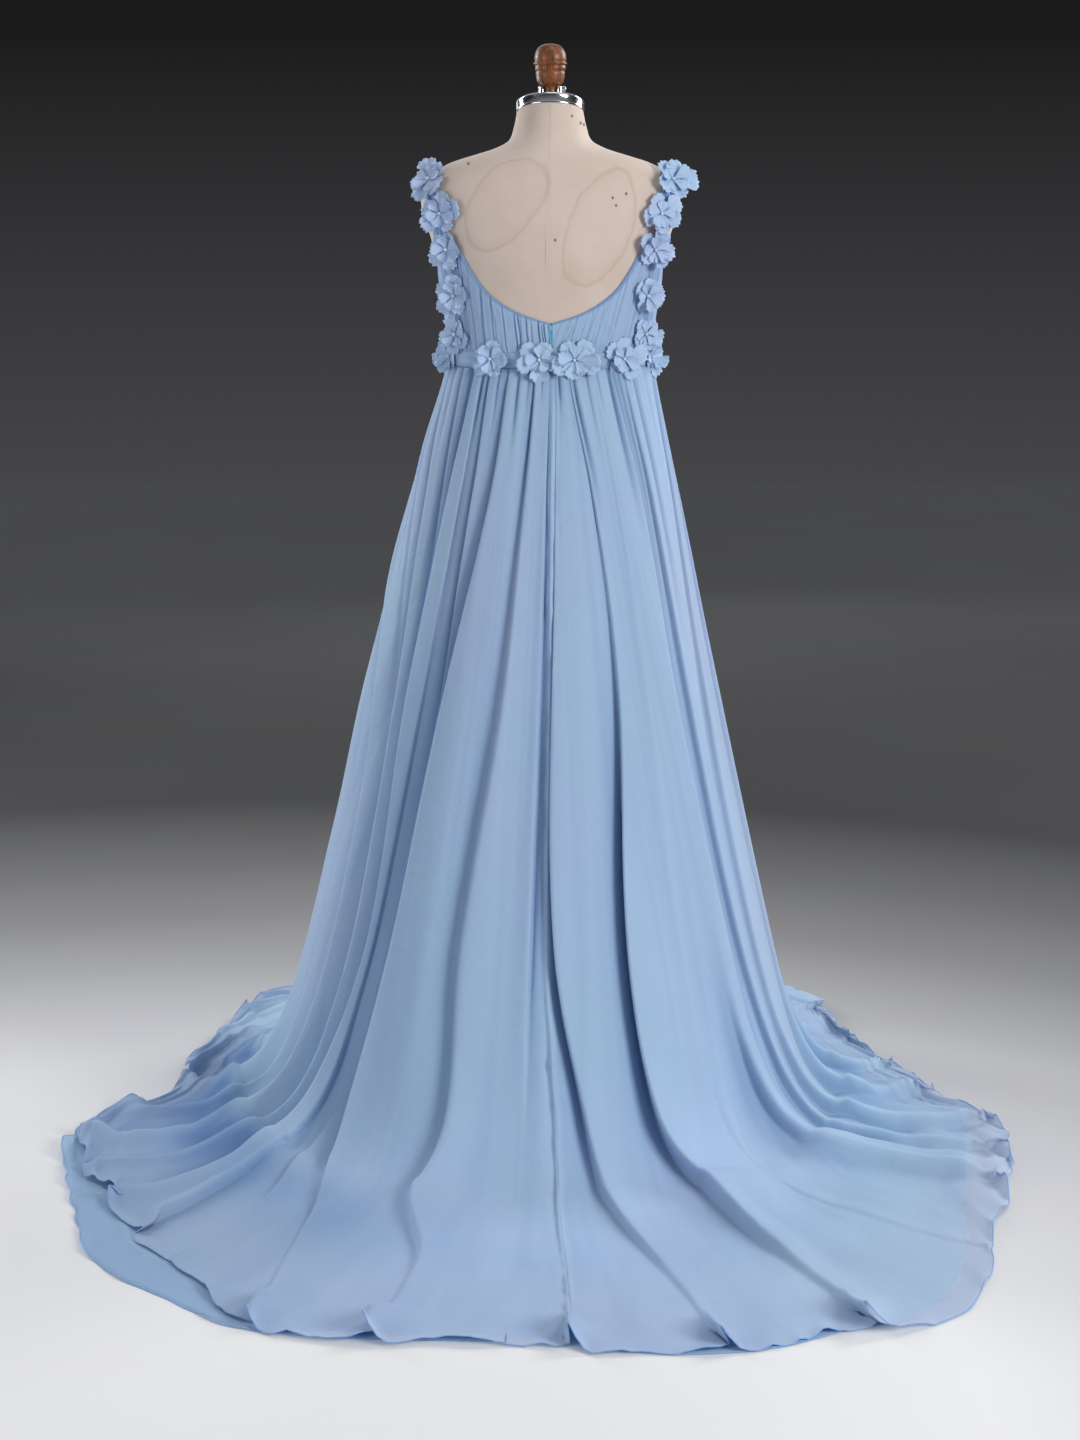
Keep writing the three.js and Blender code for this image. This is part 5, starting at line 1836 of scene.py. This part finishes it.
@dataclass
class Skirt:
    """The two chiffon layers of the skirt, gathered at the band and spread into a train."""

    finishes: Finishes
    wall: float = 0.8  # of a layer as drawn
    roll: float = 0.9  # radius of the rolled hem
    floor: float = 0.1  # height of the lowest cloth
    bends_from: float = 0.84  # v where the cloth starts to bend onto the floor
    lies_from: float = 1.14  # v where it lies flat

    def __post_init__(self) -> None:
        """Lay curves through the tables of the skirt."""
        places = [row.phi for row in FOOTPRINT]
        self.touch = curve(places, [row.touch for row in FOOTPRINT])
        self.hem = curve(places, [row.hem for row in FOOTPRINT])
        self.under = curve(places, [row.under for row in FOOTPRINT])
        self.fullness = curve(*zip(*FULLNESS))
        self.rows = self.place_rows()
        self.edges = [curve(FOLD_HEIGHTS, fold.turns) for fold in FOLDS]

    @staticmethod
    def place_rows() -> ndarray:
        """Give v at each row of points, closer at the gathers, the floor and the hem."""
        bands = [np.linspace(low, high, count)[:-1] for low, high, count in ROW_BANDS]
        return np.concatenate((*bands, [ROW_BANDS[-1][1]]))

    def hanging(self, v: ndarray) -> ndarray:
        """Give 1 where the cloth hangs and 0 where it lies."""
        return 1 - smooth(v, self.bends_from, self.lies_from)

    def fall(self, phi: ndarray, v: ndarray, hem_extra: ndarray) -> Hang:
        """Lay out the skirt without folds: straight from the band, then softly onto the floor.

        Args:
            phi: angles round the body.
            v: share of the way down.
            hem_extra: how far the hem lies outside the overlay's, in mm.

        Returns:
            The smooth skirt.
        """
        turn = np.radians(phi)
        near = from_back(phi)
        lowest = LAYER_WALL + LAYER_GAP_HELD
        top = WAIST_Z - SEAM - lowest
        waist = np.linalg.norm(BODY_SHAPE.at(phi, WAIST_Z, SKIN_GAP + lowest + 2)[..., :2], axis=-1)
        touch = self.touch(near)
        lean = np.arctan2(touch - waist, top)
        length = top / np.cos(lean)
        run = np.where(v < 1, v * length, length + (v - 1) * (self.hem(near) + hem_extra - touch))
        fallen = length - FLOOR_BEND * np.logaddexp(0, (length - run) / FLOOR_BEND)
        upright = 1 / (1 + np.exp((run - length) / FLOOR_BEND))
        out = np.cos(lean) * upright
        up = smooth(run, 0, 60) * (np.sin(lean) * upright + 1 - upright)
        scale = np.hypot(out, up)
        reach = waist + np.sin(lean) * fallen + (run - fallen)
        height = top + lowest - np.cos(lean) * fallen
        normal = np.stack((-out * np.sin(turn), out * np.cos(turn), up), axis=-1) / scale[..., None]
        point = np.stack((-reach * np.sin(turn), reach * np.cos(turn), height), axis=-1)
        room = (self.fullness(v) - self.fullness(0)) * self.hanging(v)
        return Hang(point - normal * room[..., None], normal, reach, run)

    def overlay_angles(self) -> tuple[ndarray, list[int], ndarray]:
        """Place the overlay's columns: close together on each steep face, wider on the pleats.

        Returns:
            The angle of each column at each row, the column of each fold's lit edge, and the width
            of each fold's steep face at each row, in degrees.
        """
        v = self.rows
        lines = [edge(v) for edge in self.edges]
        lines.append(lines[0] + 360)
        reach = [self.fall(line, v, 0 * v).reach for line in lines]
        columns, crests, steeps = [], [0], []
        for k in range(len(FOLDS)):
            left, right = lines[k], lines[k + 1]
            fold = FOLDS[(k + 1) % len(FOLDS)]
            hung = 3.5 + 8 * smooth(v, 0.05, 0.6)
            hung = hung * (0.6 + 0.4 * min(1, fold.lean / 8)) * fold.soft
            laid = 9 + 0.4 * fold.ridge
            wide = (hung + (laid - hung) * smooth(v, 0.85, 1.15)) * (1 - 0.4 * smooth(v, 1.8, 1.97))
            steep = np.minimum(np.degrees(wide / reach[k + 1]), 0.42 * (right - left))
            steeps.append(steep)
            fine = 2.3 if left[-1] > -90 and right[-1] < 100 else 1.25
            count = int(np.clip(round(float(right[-1] - left[-1]) * fine), 7, 40))
            for i in range(count):
                columns.append(left + (right - steep - left) * (i / count))
            for i in range(7):
                columns.append(right - steep * (1 - i / 7))
            crests.append(len(columns))
        columns.append(lines[-1])
        return np.array(columns), crests, np.array([steeps[-1], *steeps[:-1]])

    def fold_relief(self, lay: Lay, steeps: ndarray) -> Relief:
        """Work out how the folds shape the overlay.

        Args:
            lay: where its points lie.
            steeps: width of each fold's steep face at each row, in degrees.

        Returns:
            The relief.
        """
        v = self.rows[None]
        trough, crest, ridge, lean, push = np.zeros((5, *lay.phi.shape))
        floor = smooth(v, 0.8, 1.08)
        hem_part = smooth(v, 1.76, 1.96)
        grown = 0.35 + 0.65 * smooth(v, 0.05, 0.6)
        for k, fold in enumerate(FOLDS):
            line = self.edges[k](self.rows)[None]
            away = np.radians(from_back(lay.phi - line)) * lay.hang.reach
            steep = np.radians(steeps[k])[None] * lay.hang.reach
            sides = FoldSides(away, steep, fold.flip)
            there = 1 - smooth(v, fold.until - 0.2, fold.until + 0.12)
            if fold.since > 0:
                come = smooth(v, fold.since - 0.2, fold.since + 0.2)
                there = there * (fold.faint + (1 - fold.faint) * come)
            in_train = abs(fold.turns[-1]) < TRAIN_TO
            aside = float(smooth(abs(fold.turns[-1]), TRAIN_TO, SIDES_FROM)) * (fold.turns[-1] < 0)
            spread = fold.width * grown * (1 + (0.6 + 1.3 * aside) * floor)
            trough = 1 - (1 - trough) * (1 - fold.depth * there * sides.low(spread, 1.3))
            crest = np.maximum(crest, 0.3 * fold.depth * there * sides.high(1.3 * spread, 1.4))
            lower = 1 - 0.3 * aside - (0.7 if in_train else 0.35) * smooth(v, 1.08, 1.6)
            tall = fold.ridge * floor * lower * (1 - hem_part) + fold.hem * hem_part
            wide = 16 + 1.3 * tall if in_train else 14 + 0.8 * tall
            slope = wide * (1 - hem_part) + 10 * hem_part
            ridge = np.maximum(ridge, tall * sides.high(slope, 1.6))
            flat = floor * (0.8 - 0.5 * smooth(v, 1.12, 1.5))
            strength = np.maximum(there * fold.depth * grown, np.maximum(flat, 1.7 * hem_part))
            over = fold.lean * strength * (-1 if fold.flip else 1)
            lean = lean + over * sides.high(2.2 * steep + 4, 2)
            out, back = np.exp(-((away - 22) / 16) ** 2), np.exp(-((away + 8) / 14) ** 2)
            push = push + 0.4 * fold.hem * (0.5 * out - back)
        full = self.fullness(v) * self.hanging(v)
        height = full * (1 - trough) * (0.8 + crest) + ridge
        return Relief(height, lean, trough, push)

    def gathers(self, lay: Lay) -> tuple[ndarray, ndarray]:
        """Lay the small gathers under the band.

        Args:
            lay: where the overlay's points lie.

        Returns:
            How deep the cloth dips at each point, in mm, and how much painted shade darkens it.
        """
        pick = random.Random(5)
        columns = lay.phi
        depth, dark = np.zeros((2, *columns.shape))
        gathers = list(GATHERS)
        phi = SIDE_SEAM
        while phi < 270:  # the front's are not seen from behind and lie at random
            phi += pick.uniform(4, 9)
            size = pick.uniform(2.5, 6)
            gathers.append(Gather(phi, size, pick.choice((0.05, 0.08, 0.13, 0.2, 0.3))))
        places = np.arange(len(columns))
        for gather in gathers:
            turn = gather.phi if gather.phi > columns[0, 0] else gather.phi + 360
            turn = turn if turn < columns[-1, 0] else turn - 360
            start = float(np.interp(turn, columns[:, 0], places))
            line = np.array([np.interp(start, places, row) for row in columns.T])
            away = np.radians(columns - line[None]) * lay.hang.reach
            width = (1.1 + 0.16 * gather.depth) * (1 + 5 * lay.v)
            sink = gather.depth * smooth(lay.v, gather.until * 1.8, gather.until * 0.15)
            dip = np.exp(-(away / width) ** 2)
            depth = np.maximum(depth, sink * dip)
            # painted shade in the dip of each gather
            dark = np.maximum(dark, np.clip(sink / 4.5, 0, 1) * dip ** 0.7)
        return depth, dark

    def build_overlay(self) -> list[Object]:
        """Make the three overlay panels, from side seam to centre seam to side seam.

        Returns:
            The panels.
        """
        columns, crests, steeps = self.overlay_angles()
        stops = [crests[FOLD_NUMBERS[name]] for name in ("left_side", "seam", "right_side")]
        lay = self.lay_overlay(columns, stops[1])
        relief = self.fold_relief(lay, steeps)
        depth, dark = self.gathers(lay)
        pucker, seam = self.centre_seam(lay)
        outer, inner = self.overlay_faces(lay, relief, depth, pucker)
        marks = self.overlay_marks(lay, relief, 0.75 * dark, seam)
        cloth = np.stack((lay.across, lay.hang.run), axis=-1)
        pieces = []
        for name, node, first, last in (
            ("overlay_back_left", "skirt_over_back_left", stops[0], stops[1]),
            ("overlay_back_right", "skirt_over_back_right", stops[1], stops[2]),
            ("overlay_front", "skirt_over_front", stops[2], len(columns) - 1 + stops[0]),
        ):
            take = np.arange(first, last + 1)
            take = np.where(take >= len(columns), take - len(columns) + 1, take)
            pieces.append(self.build_panel(name, node, outer[take], inner[take], cloth[take],
                                           marks[take], self.finishes.overlay))
        return pieces

    def lay_overlay(self, columns: ndarray, seam_at: int) -> Lay:
        """Lay out the overlay without its folds.

        Args:
            columns: angle of each column at each row, in degrees.
            seam_at: the column of the centre seam.

        Returns:
            Where its points lie.
        """
        v = self.rows[None] + 0 * columns
        hang = self.fall(columns, v, 0 * v)
        near = from_back(columns)
        steps = np.radians(np.diff(columns, axis=0)) * hang.reach[1:]
        across = np.cumsum(np.r_[np.zeros((1, v.shape[1])), steps], axis=0)
        from_hem = (2 - v) * (self.hem(near) - self.touch(near))
        even = smooth(np.abs(np.abs(near) - 180), 1, 7)
        side = smooth(np.abs(near), TRAIN_TO, SIDES_FROM)
        return Lay(columns, near, v, hang, across - across[seam_at], from_hem, even, side)

    def overlay_faces(self, lay: Lay, relief: Relief, depth: ndarray,
                      pucker: ndarray) -> tuple[ndarray, ndarray]:
        """Shape the overlay.

        Args:
            lay: where its points lie.
            relief: of its folds.
            depth: of its gathers, in mm.
            pucker: height of its centre seam, in mm.

        Returns:
            The points of its outer and its inner face.
        """
        v, near, turn = lay.v, lay.near, np.radians(lay.phi)
        low_edge = 1 - 0.5 * smooth(-near, 20, 30) * smooth(-near, 66, 56)
        lift = lay.even * low_edge * self.hem_lift(lay)
        wrinkle = lay.even * self.wrinkles(lay) + lay.even * self.rolls(lay)
        bulge = smooth(v, 0, 0.12) * smooth(v, 0.62, 0.36)
        bulge = bulge * smooth(-near, 50, 80) * smooth(-near, 125, 100)
        folded = np.maximum(relief.height - depth, 0)
        rise = 9 * bulge + folded + np.maximum(wrinkle, -0.5 * relief.height) + lift + pucker
        sideways = np.stack((np.cos(turn), np.sin(turn), 0 * turn), axis=-1)
        outwards = np.stack((-np.sin(turn), np.cos(turn), 0 * turn), axis=-1)
        drawn = self.hem_line(lay, lift) + relief.push * smooth(v, 1.5, 2)
        inner = lay.hang.point + lay.hang.normal * rise[..., None]
        inner = inner + sideways * relief.lean[..., None] + outwards * drawn[..., None]
        inner[..., 2] = np.maximum(inner[..., 2], self.floor)
        outer = inner + across_and_down(inner) * self.wall
        outer[..., 2] = np.maximum(outer[..., 2], self.floor + 0.2)
        return outer, inner

    def overlay_marks(self, lay: Lay, relief: Relief, dark: ndarray, seam: ndarray) -> ndarray:
        """Tell the overlay's finish where the cloth is sheer and painted paler, and where painted
        shade darkens it.

        Args:
            lay: where its points lie.
            relief: of its folds.
            dark: painted shade in the gathers.
            seam: how the centre seam changes the colour.

        Returns:
            For each point how sheer the cloth is, which also paints it paler, and how much painted
            shade and streaks darken it, from 0 to 1.
        """
        v, near = lay.v, lay.near
        # painted shade in the troughs, where the cloth hangs and, on the floor, at the train's
        # sides
        held = self.hanging(v) + 1.1 * lay.side * (1 - self.hanging(v))
        streak = 0.10 * ripple(lay.phi / 3.1, v * 1.6, 111)
        streak = streak + 0.06 * ripple(lay.phi / 0.9, v * 4, 112)
        doubled = np.clip(0.75 * relief.trough * held + dark + seam + 0.05 + streak, 0, 1)
        # painted shade on the floor: in the valleys between rolls, over the left side and down the
        # middle of the train
        valley = lay.side * smooth(relief.height, 22, 4)
        left_floor = smooth(v, 0.98, 1.25) * smooth(-near, 8, 30) * smooth(-near, 120, 95)
        floor_shade = left_floor * (0.42 + 0.3 * valley)
        floor_shade = floor_shade + 0.2 * valley * smooth(v, 1.0, 1.2) * (near > 0)
        floor_shade = floor_shade + 0.2 * smooth(v, 1.1, 1.5) * smooth(np.abs(near), 26, 10)
        alone = smooth(-self.under(near) - lay.from_hem, -4, 6)
        # painted light: a paler, more see-through strip down the lit right side
        lit_side = 0.35 * np.exp(-((near - 66) / 13) ** 2)
        lit_side = lit_side * smooth(v, 0.12, 0.4) * smooth(v, 1.0, 0.7)
        edge = 0.55 * np.exp(-np.maximum(lay.from_hem, 0) / 16)
        # sheer cloth is see-through and is also painted paler, as painted light: on the train,
        # where the overlay lies alone, at the hem and on the lit side
        sheer = np.max((0.25 * smooth(v, 1.3, 1.7), alone, edge, lit_side), axis=0)
        return np.stack((sheer, np.clip(doubled + floor_shade, 0, 1)), axis=-1)

    def wrinkles(self, lay: Lay) -> ndarray:
        """Give the faint uneven creases of the cloth.

        Args:
            lay: where its points lie.

        Returns:
            Their height at each point, in mm.
        """
        soft = 2.4 * ripple(lay.phi / 6.5, lay.v * 2.1, 81) * smooth(lay.v, 0.1, 0.5)
        one, two = lay.across + 0.7 * lay.hang.run, lay.hang.run - 0.7 * lay.across
        broad = 4.2 * ripple(one / 150, two / 130, 83) + 1.7 * ripple(one / 70, two / 95, 84)
        return soft + np.maximum(broad, -0.6) * smooth(lay.v, 1.05, 1.35)

    def rolls(self, lay: Lay) -> ndarray:
        """Give the soft rolls of the cloth that lies beside the skirt.

        Args:
            lay: where its points lie.

        Returns:
            Their height at each point, in mm.
        """
        wide = ripple(lay.phi / 5.6, lay.v * 1.2, 101)
        wide = wide + 0.45 * ripple(lay.phi / 2.9, lay.v * 2.0, 102)
        shape = np.maximum(wide + 0.35, 0) * smooth(lay.v, 0.86, 1.06)
        return shape * (11 - 3 * smooth(lay.v, 1.2, 2)) * lay.side

    def hem_lift(self, lay: Lay) -> ndarray:
        """Give how far the waves of the hem stand off the floor.

        Args:
            lay: where the cloth's points lie.

        Returns:
            The height at each point, in mm.
        """
        wave = np.maximum(ripple(lay.across / 40, 0.0, 85), 0) * 10
        wave = wave + np.maximum(ripple(lay.across / 19, 0.0, 86), 0) * 6
        fade = np.exp(-np.maximum(lay.from_hem, 0) / (22 + 18 * lay.side))
        return wave * (0.7 + 1.1 * lay.side) * fade

    def hem_line(self, lay: Lay, lift: ndarray) -> ndarray:
        """Give how far the hem lies outside its even line.

        Args:
            lay: where the cloth's points lie.
            lift: how far the hem's waves stand off the floor, in mm.

        Returns:
            The distance at each point, in mm.
        """
        scallop = 9 * ripple(lay.across / 120, 0.5, 87) + 5 * ripple(lay.across / 44, 0.5, 88)
        drawn = lay.even * scallop * (1 + 0.5 * lay.side) - 0.5 * lift
        return smooth(lay.v, 1.6, 2) * drawn

    def centre_seam(self, lay: Lay) -> tuple[ndarray, ndarray]:
        """Draw the puckered seam at the centre back.

        Args:
            lay: where the cloth's points lie.

        Returns:
            Its height at each point, in mm, and how it changes the colour.
        """
        run = lay.hang.run
        line = self.edges[FOLD_NUMBERS["seam"]](self.rows)[None]
        away = np.radians(lay.phi - line) * lay.hang.reach + 2.6 * ripple(run / 28, 4.0, 93)
        pucker = 1.1 + 0.9 * ripple(run / 9, 0.0, 91) + 0.6 * ripple(run / 31, 2.0, 92)
        shape = np.exp(-(away / 4.5) ** 2) - 0.5 * np.exp(-((np.abs(away) - 9) / 4) ** 2)
        seen = smooth(lay.v, 0.02, 0.1)
        height = 2.0 * pucker * shape * seen * smooth(lay.v, 2.0, 1.96)
        return height, -0.25 * np.exp(-(away / 4) ** 2) * seen

    def build_under(self) -> list[Object]:
        """Make the three panels of the under layer.

        Returns:
            The panels.
        """
        pieces = []
        for name, node, first, last in (
            ("underskirt_back_left", "skirt_under_back_left", -79.0, 1.0),
            ("underskirt_back_right", "skirt_under_back_right", 1.0, 90.0),
            ("underskirt_front", "skirt_under_front", 90.0, 281.0),
        ):
            fine = 1.8 if last - first < 100 else 1.05
            phi = np.linspace(first, last, int((last - first) * fine))[:, None]
            rows = self.rows[::2]
            v = rows[None] + 0 * phi
            near = from_back(phi) + 0 * v
            extra = self.under(near)
            beyond = extra - (2 - v) * (self.hem(near) + extra - self.touch(near))
            hang = self.fall(phi + 0 * v, v, extra)
            bare = self.wall + LAYER_GAP_HELD
            off_floor = LAYER_GAP_HELD + 0.25 * np.maximum(hang.point[..., 2] - bare, 0)
            off_band = LAYER_GAP_HELD + 0.04 * hang.run
            loose = np.minimum(np.minimum(LAYER_GAP_FREE, off_floor), off_band)
            across = np.radians(phi - first) * hang.reach
            shown = smooth(v, 1.8, 2) * smooth(extra, 4, 20)
            wave = np.maximum(ripple(phi / 3.6, 0.0, 95), 0) * 12
            wave = wave + np.maximum(ripple(phi / 1.7, 0.0, 96), 0) * 6
            outer = hang.point - hang.normal * loose[..., None]
            outside = smooth(beyond, 0, 14)
            crumple = 7 * ripple(phi / 2.6, v * 11, 99) + 3 * ripple(phi / 1.2, v * 17, 100)
            outer[..., 2] += wave * shown * smooth(v, 1.93, 2) + np.maximum(crumple, 0) * outside
            turn = np.radians(phi)
            push = (12 * ripple(phi / 5.5, 1.5, 97) + 8 * ripple(phi / 2.2, 1.5, 98)) * shown
            outer = outer + np.stack((-np.sin(turn) * push, np.cos(turn) * push, 0 * push), axis=-1)
            inner = outer - across_and_down(outer) * self.wall
            inner[..., 2] = np.maximum(inner[..., 2], self.floor)
            alone = smooth(beyond, -4, 6)
            # painted light: paler where the under layer lies alone; painted shade where the overlay
            # covers it
            sheer = np.maximum(0.25 * smooth(v, 1.3, 1.7), alone)
            marks = np.stack((sheer, 0.15 - 0.15 * alone), axis=-1)
            cloth = np.stack((across, hang.run), axis=-1)
            pieces.append(self.build_panel(name, node, outer, inner, cloth, marks,
                                           self.finishes.under))
        return pieces

    def build_panel(self, name: str, node: str, outer: ndarray, inner: ndarray, cloth: ndarray,
                    marks: ndarray, material: Material) -> Object:
        """Turn one panel's grids into a sheet with its rolled hem.

        Args:
            name: the panel's name.
            node: the CAD node that it stands for.
            outer: points of its outer face.
            inner: points of its inner face.
            cloth: where each point lies in the flat cloth, in mm.
            marks: how sheer the cloth is at each point, which also paints it paler, and its painted
                shade and streaks.
            material: its finish.

        Returns:
            The panel.
        """
        draft = MeshDraft()
        draft.add_shell(outer, inner, 0, cloth, marks)
        edge = (outer[:, -1] + inner[:, -1]) / 2
        edge[:, 2] = np.maximum(edge[:, 2], self.roll + self.floor)
        draft.add_tube(edge, self.roll, 6, 1)
        piece = draft.build(name, [material, self.finishes.hem])
        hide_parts(node)
        return piece


# ---------------------------------------------------------------- studio


@dataclass(frozen=True)
class Softbox:
    """One soft lamp.

    Attributes:
        name: its name.
        place: where it hangs, in metres.
        aim: the point that it lights, in metres.
        size: its width and height, in metres.
        power: in watts.
        colour: of its light.
    """

    name: str
    place: tuple[float, float, float]
    aim: tuple[float, float, float]
    size: tuple[float, float]
    power: float
    colour: str = "#FFFFFF"

    def build(self) -> None:
        """Hang the lamp."""
        data = bpy.data.lights.new(self.name, "AREA")
        data.shape = "RECTANGLE"
        data.size, data.size_y = self.size
        data.energy = self.power
        data.color = linear(self.colour)[:3]
        lamp = bpy.data.objects.new(self.name, data)
        lamp.location = self.place
        way = Vector(self.aim) - Vector(self.place)
        lamp.rotation_euler = way.to_track_quat("-Z", "Y").to_euler()
        lamp.visible_camera = False
        bpy.context.scene.collection.objects.link(lamp)


@dataclass
class Studio:
    """A pale floor, soft lamps all round and the camera behind the dress."""

    finishes: Finishes
    floor: float = 9000.0  # half its width
    backdrop: str = "#48474A"
    above: str = "#1B1B1C"
    ceiling: str = "#8A8C90"
    lens: float = 65.0
    sensor: float = 36.0
    stands_at: tuple[float, float, float] = (0.0155, 4.0, 1.40)  # the camera, in metres
    looks_down: float = 11.4  # degrees
    lamps: tuple[Softbox, ...] = (
        Softbox("key", (-3.5, 3.1, 2.2), (0, 0.2, 0.9), (1.9, 1.9), 164),
        Softbox("fill", (3.3, 3.2, 1.3), (0, 0.2, 0.8), (2.4, 2.4), 62),
        Softbox("left strip", (2.4, -1.5, 1.7), (0.1, 0, 0.8), (0.4, 2.2), 60),
        Softbox("right strip", (-2.4, -1.6, 2.3), (-0.1, 0.3, 0.5), (1.0, 1.6), 60),
        Softbox("overhead", (-0.6, 0.6, 4.2), (0, 0.6, 0), (2.6, 2.2), 20),
        Softbox("front", (0.6, -4.0, 2.6), (0, 0, 0.8), (2.6, 2.6), 34),
    )

    def build(self) -> None:
        """Make the floor, the lamps, the world and the camera."""
        self.build_floor()
        for lamp in self.lamps:
            lamp.build()
        self.build_world()
        self.build_camera()
        bpy.context.scene.view_settings.view_transform = "Standard"

    def build_floor(self) -> None:
        """Lay the paper."""
        draft = MeshDraft()
        xs = np.linspace(-self.floor, self.floor, 5)
        grid = np.stack(np.broadcast_arrays(xs[:, None], xs[None], 0 * xs[:, None]), axis=-1)
        draft.add_surface(grid)
        draft.build("studio_floor", [self.finishes.paper], body=None)

    def build_world(self) -> None:
        """Surround the scene with a grey backdrop, darker above it and pale overhead."""
        world = bpy.data.worlds.new("studio")
        bpy.context.scene.world = world
        world.use_nodes = True
        tree = world.node_tree
        way = add_node(tree, "TexCoord")
        parts = add_node(tree, "SeparateXYZ", {0: way.outputs["Generated"]})
        height = add_node(tree, "MapRange", {"Value": parts.outputs["Z"], "From Min": -0.12})
        tones = add_node(tree, "ValToRGB", {0: height})
        fill_ramp(tones.color_ramp, ((0.0, self.backdrop), (0.16, self.above), (0.35, self.above),
                                     (0.75, self.ceiling)))
        tree.links.new(tones.outputs[0], tree.nodes["Background"].inputs["Color"])

    def build_camera(self) -> None:
        """Set up the camera behind the dress, looking along -Y."""
        data = bpy.data.cameras.new("camera")
        data.lens = self.lens
        data.sensor_width = self.sensor
        camera = bpy.data.objects.new("camera", data)
        camera.location = self.stands_at
        camera.rotation_euler = (math.radians(90 - self.looks_down), 0, math.pi)
        bpy.context.scene.collection.objects.link(camera)
        bpy.context.scene.camera = camera


# ---------------------------------------------------------------- the whole object


def main() -> None:
    """Build the studio, the dress form and the dress."""
    logging.basicConfig(level=logging.INFO, format="%(name)s: %(message)s")
    finishes = Finishes()
    Studio(finishes).build()
    DressForm(finishes).build()
    panels = bodice_panels()
    pieces = [panel.build(finishes) for panel in panels]
    pieces.append(Waistband(finishes).build())
    BackZip(finishes).build()
    straps = [Strap(side) for side in Side]
    pieces += [strap.build(finishes) for strap in straps]
    flowers = [FabricFlower(seat, 100 + 7 * k).build(finishes)
               for k, seat in enumerate(flower_seats())]
    skirt = Skirt(finishes)
    pieces += skirt.build_overlay()
    pieces += skirt.build_under()


if __name__ == "__main__":
    main()
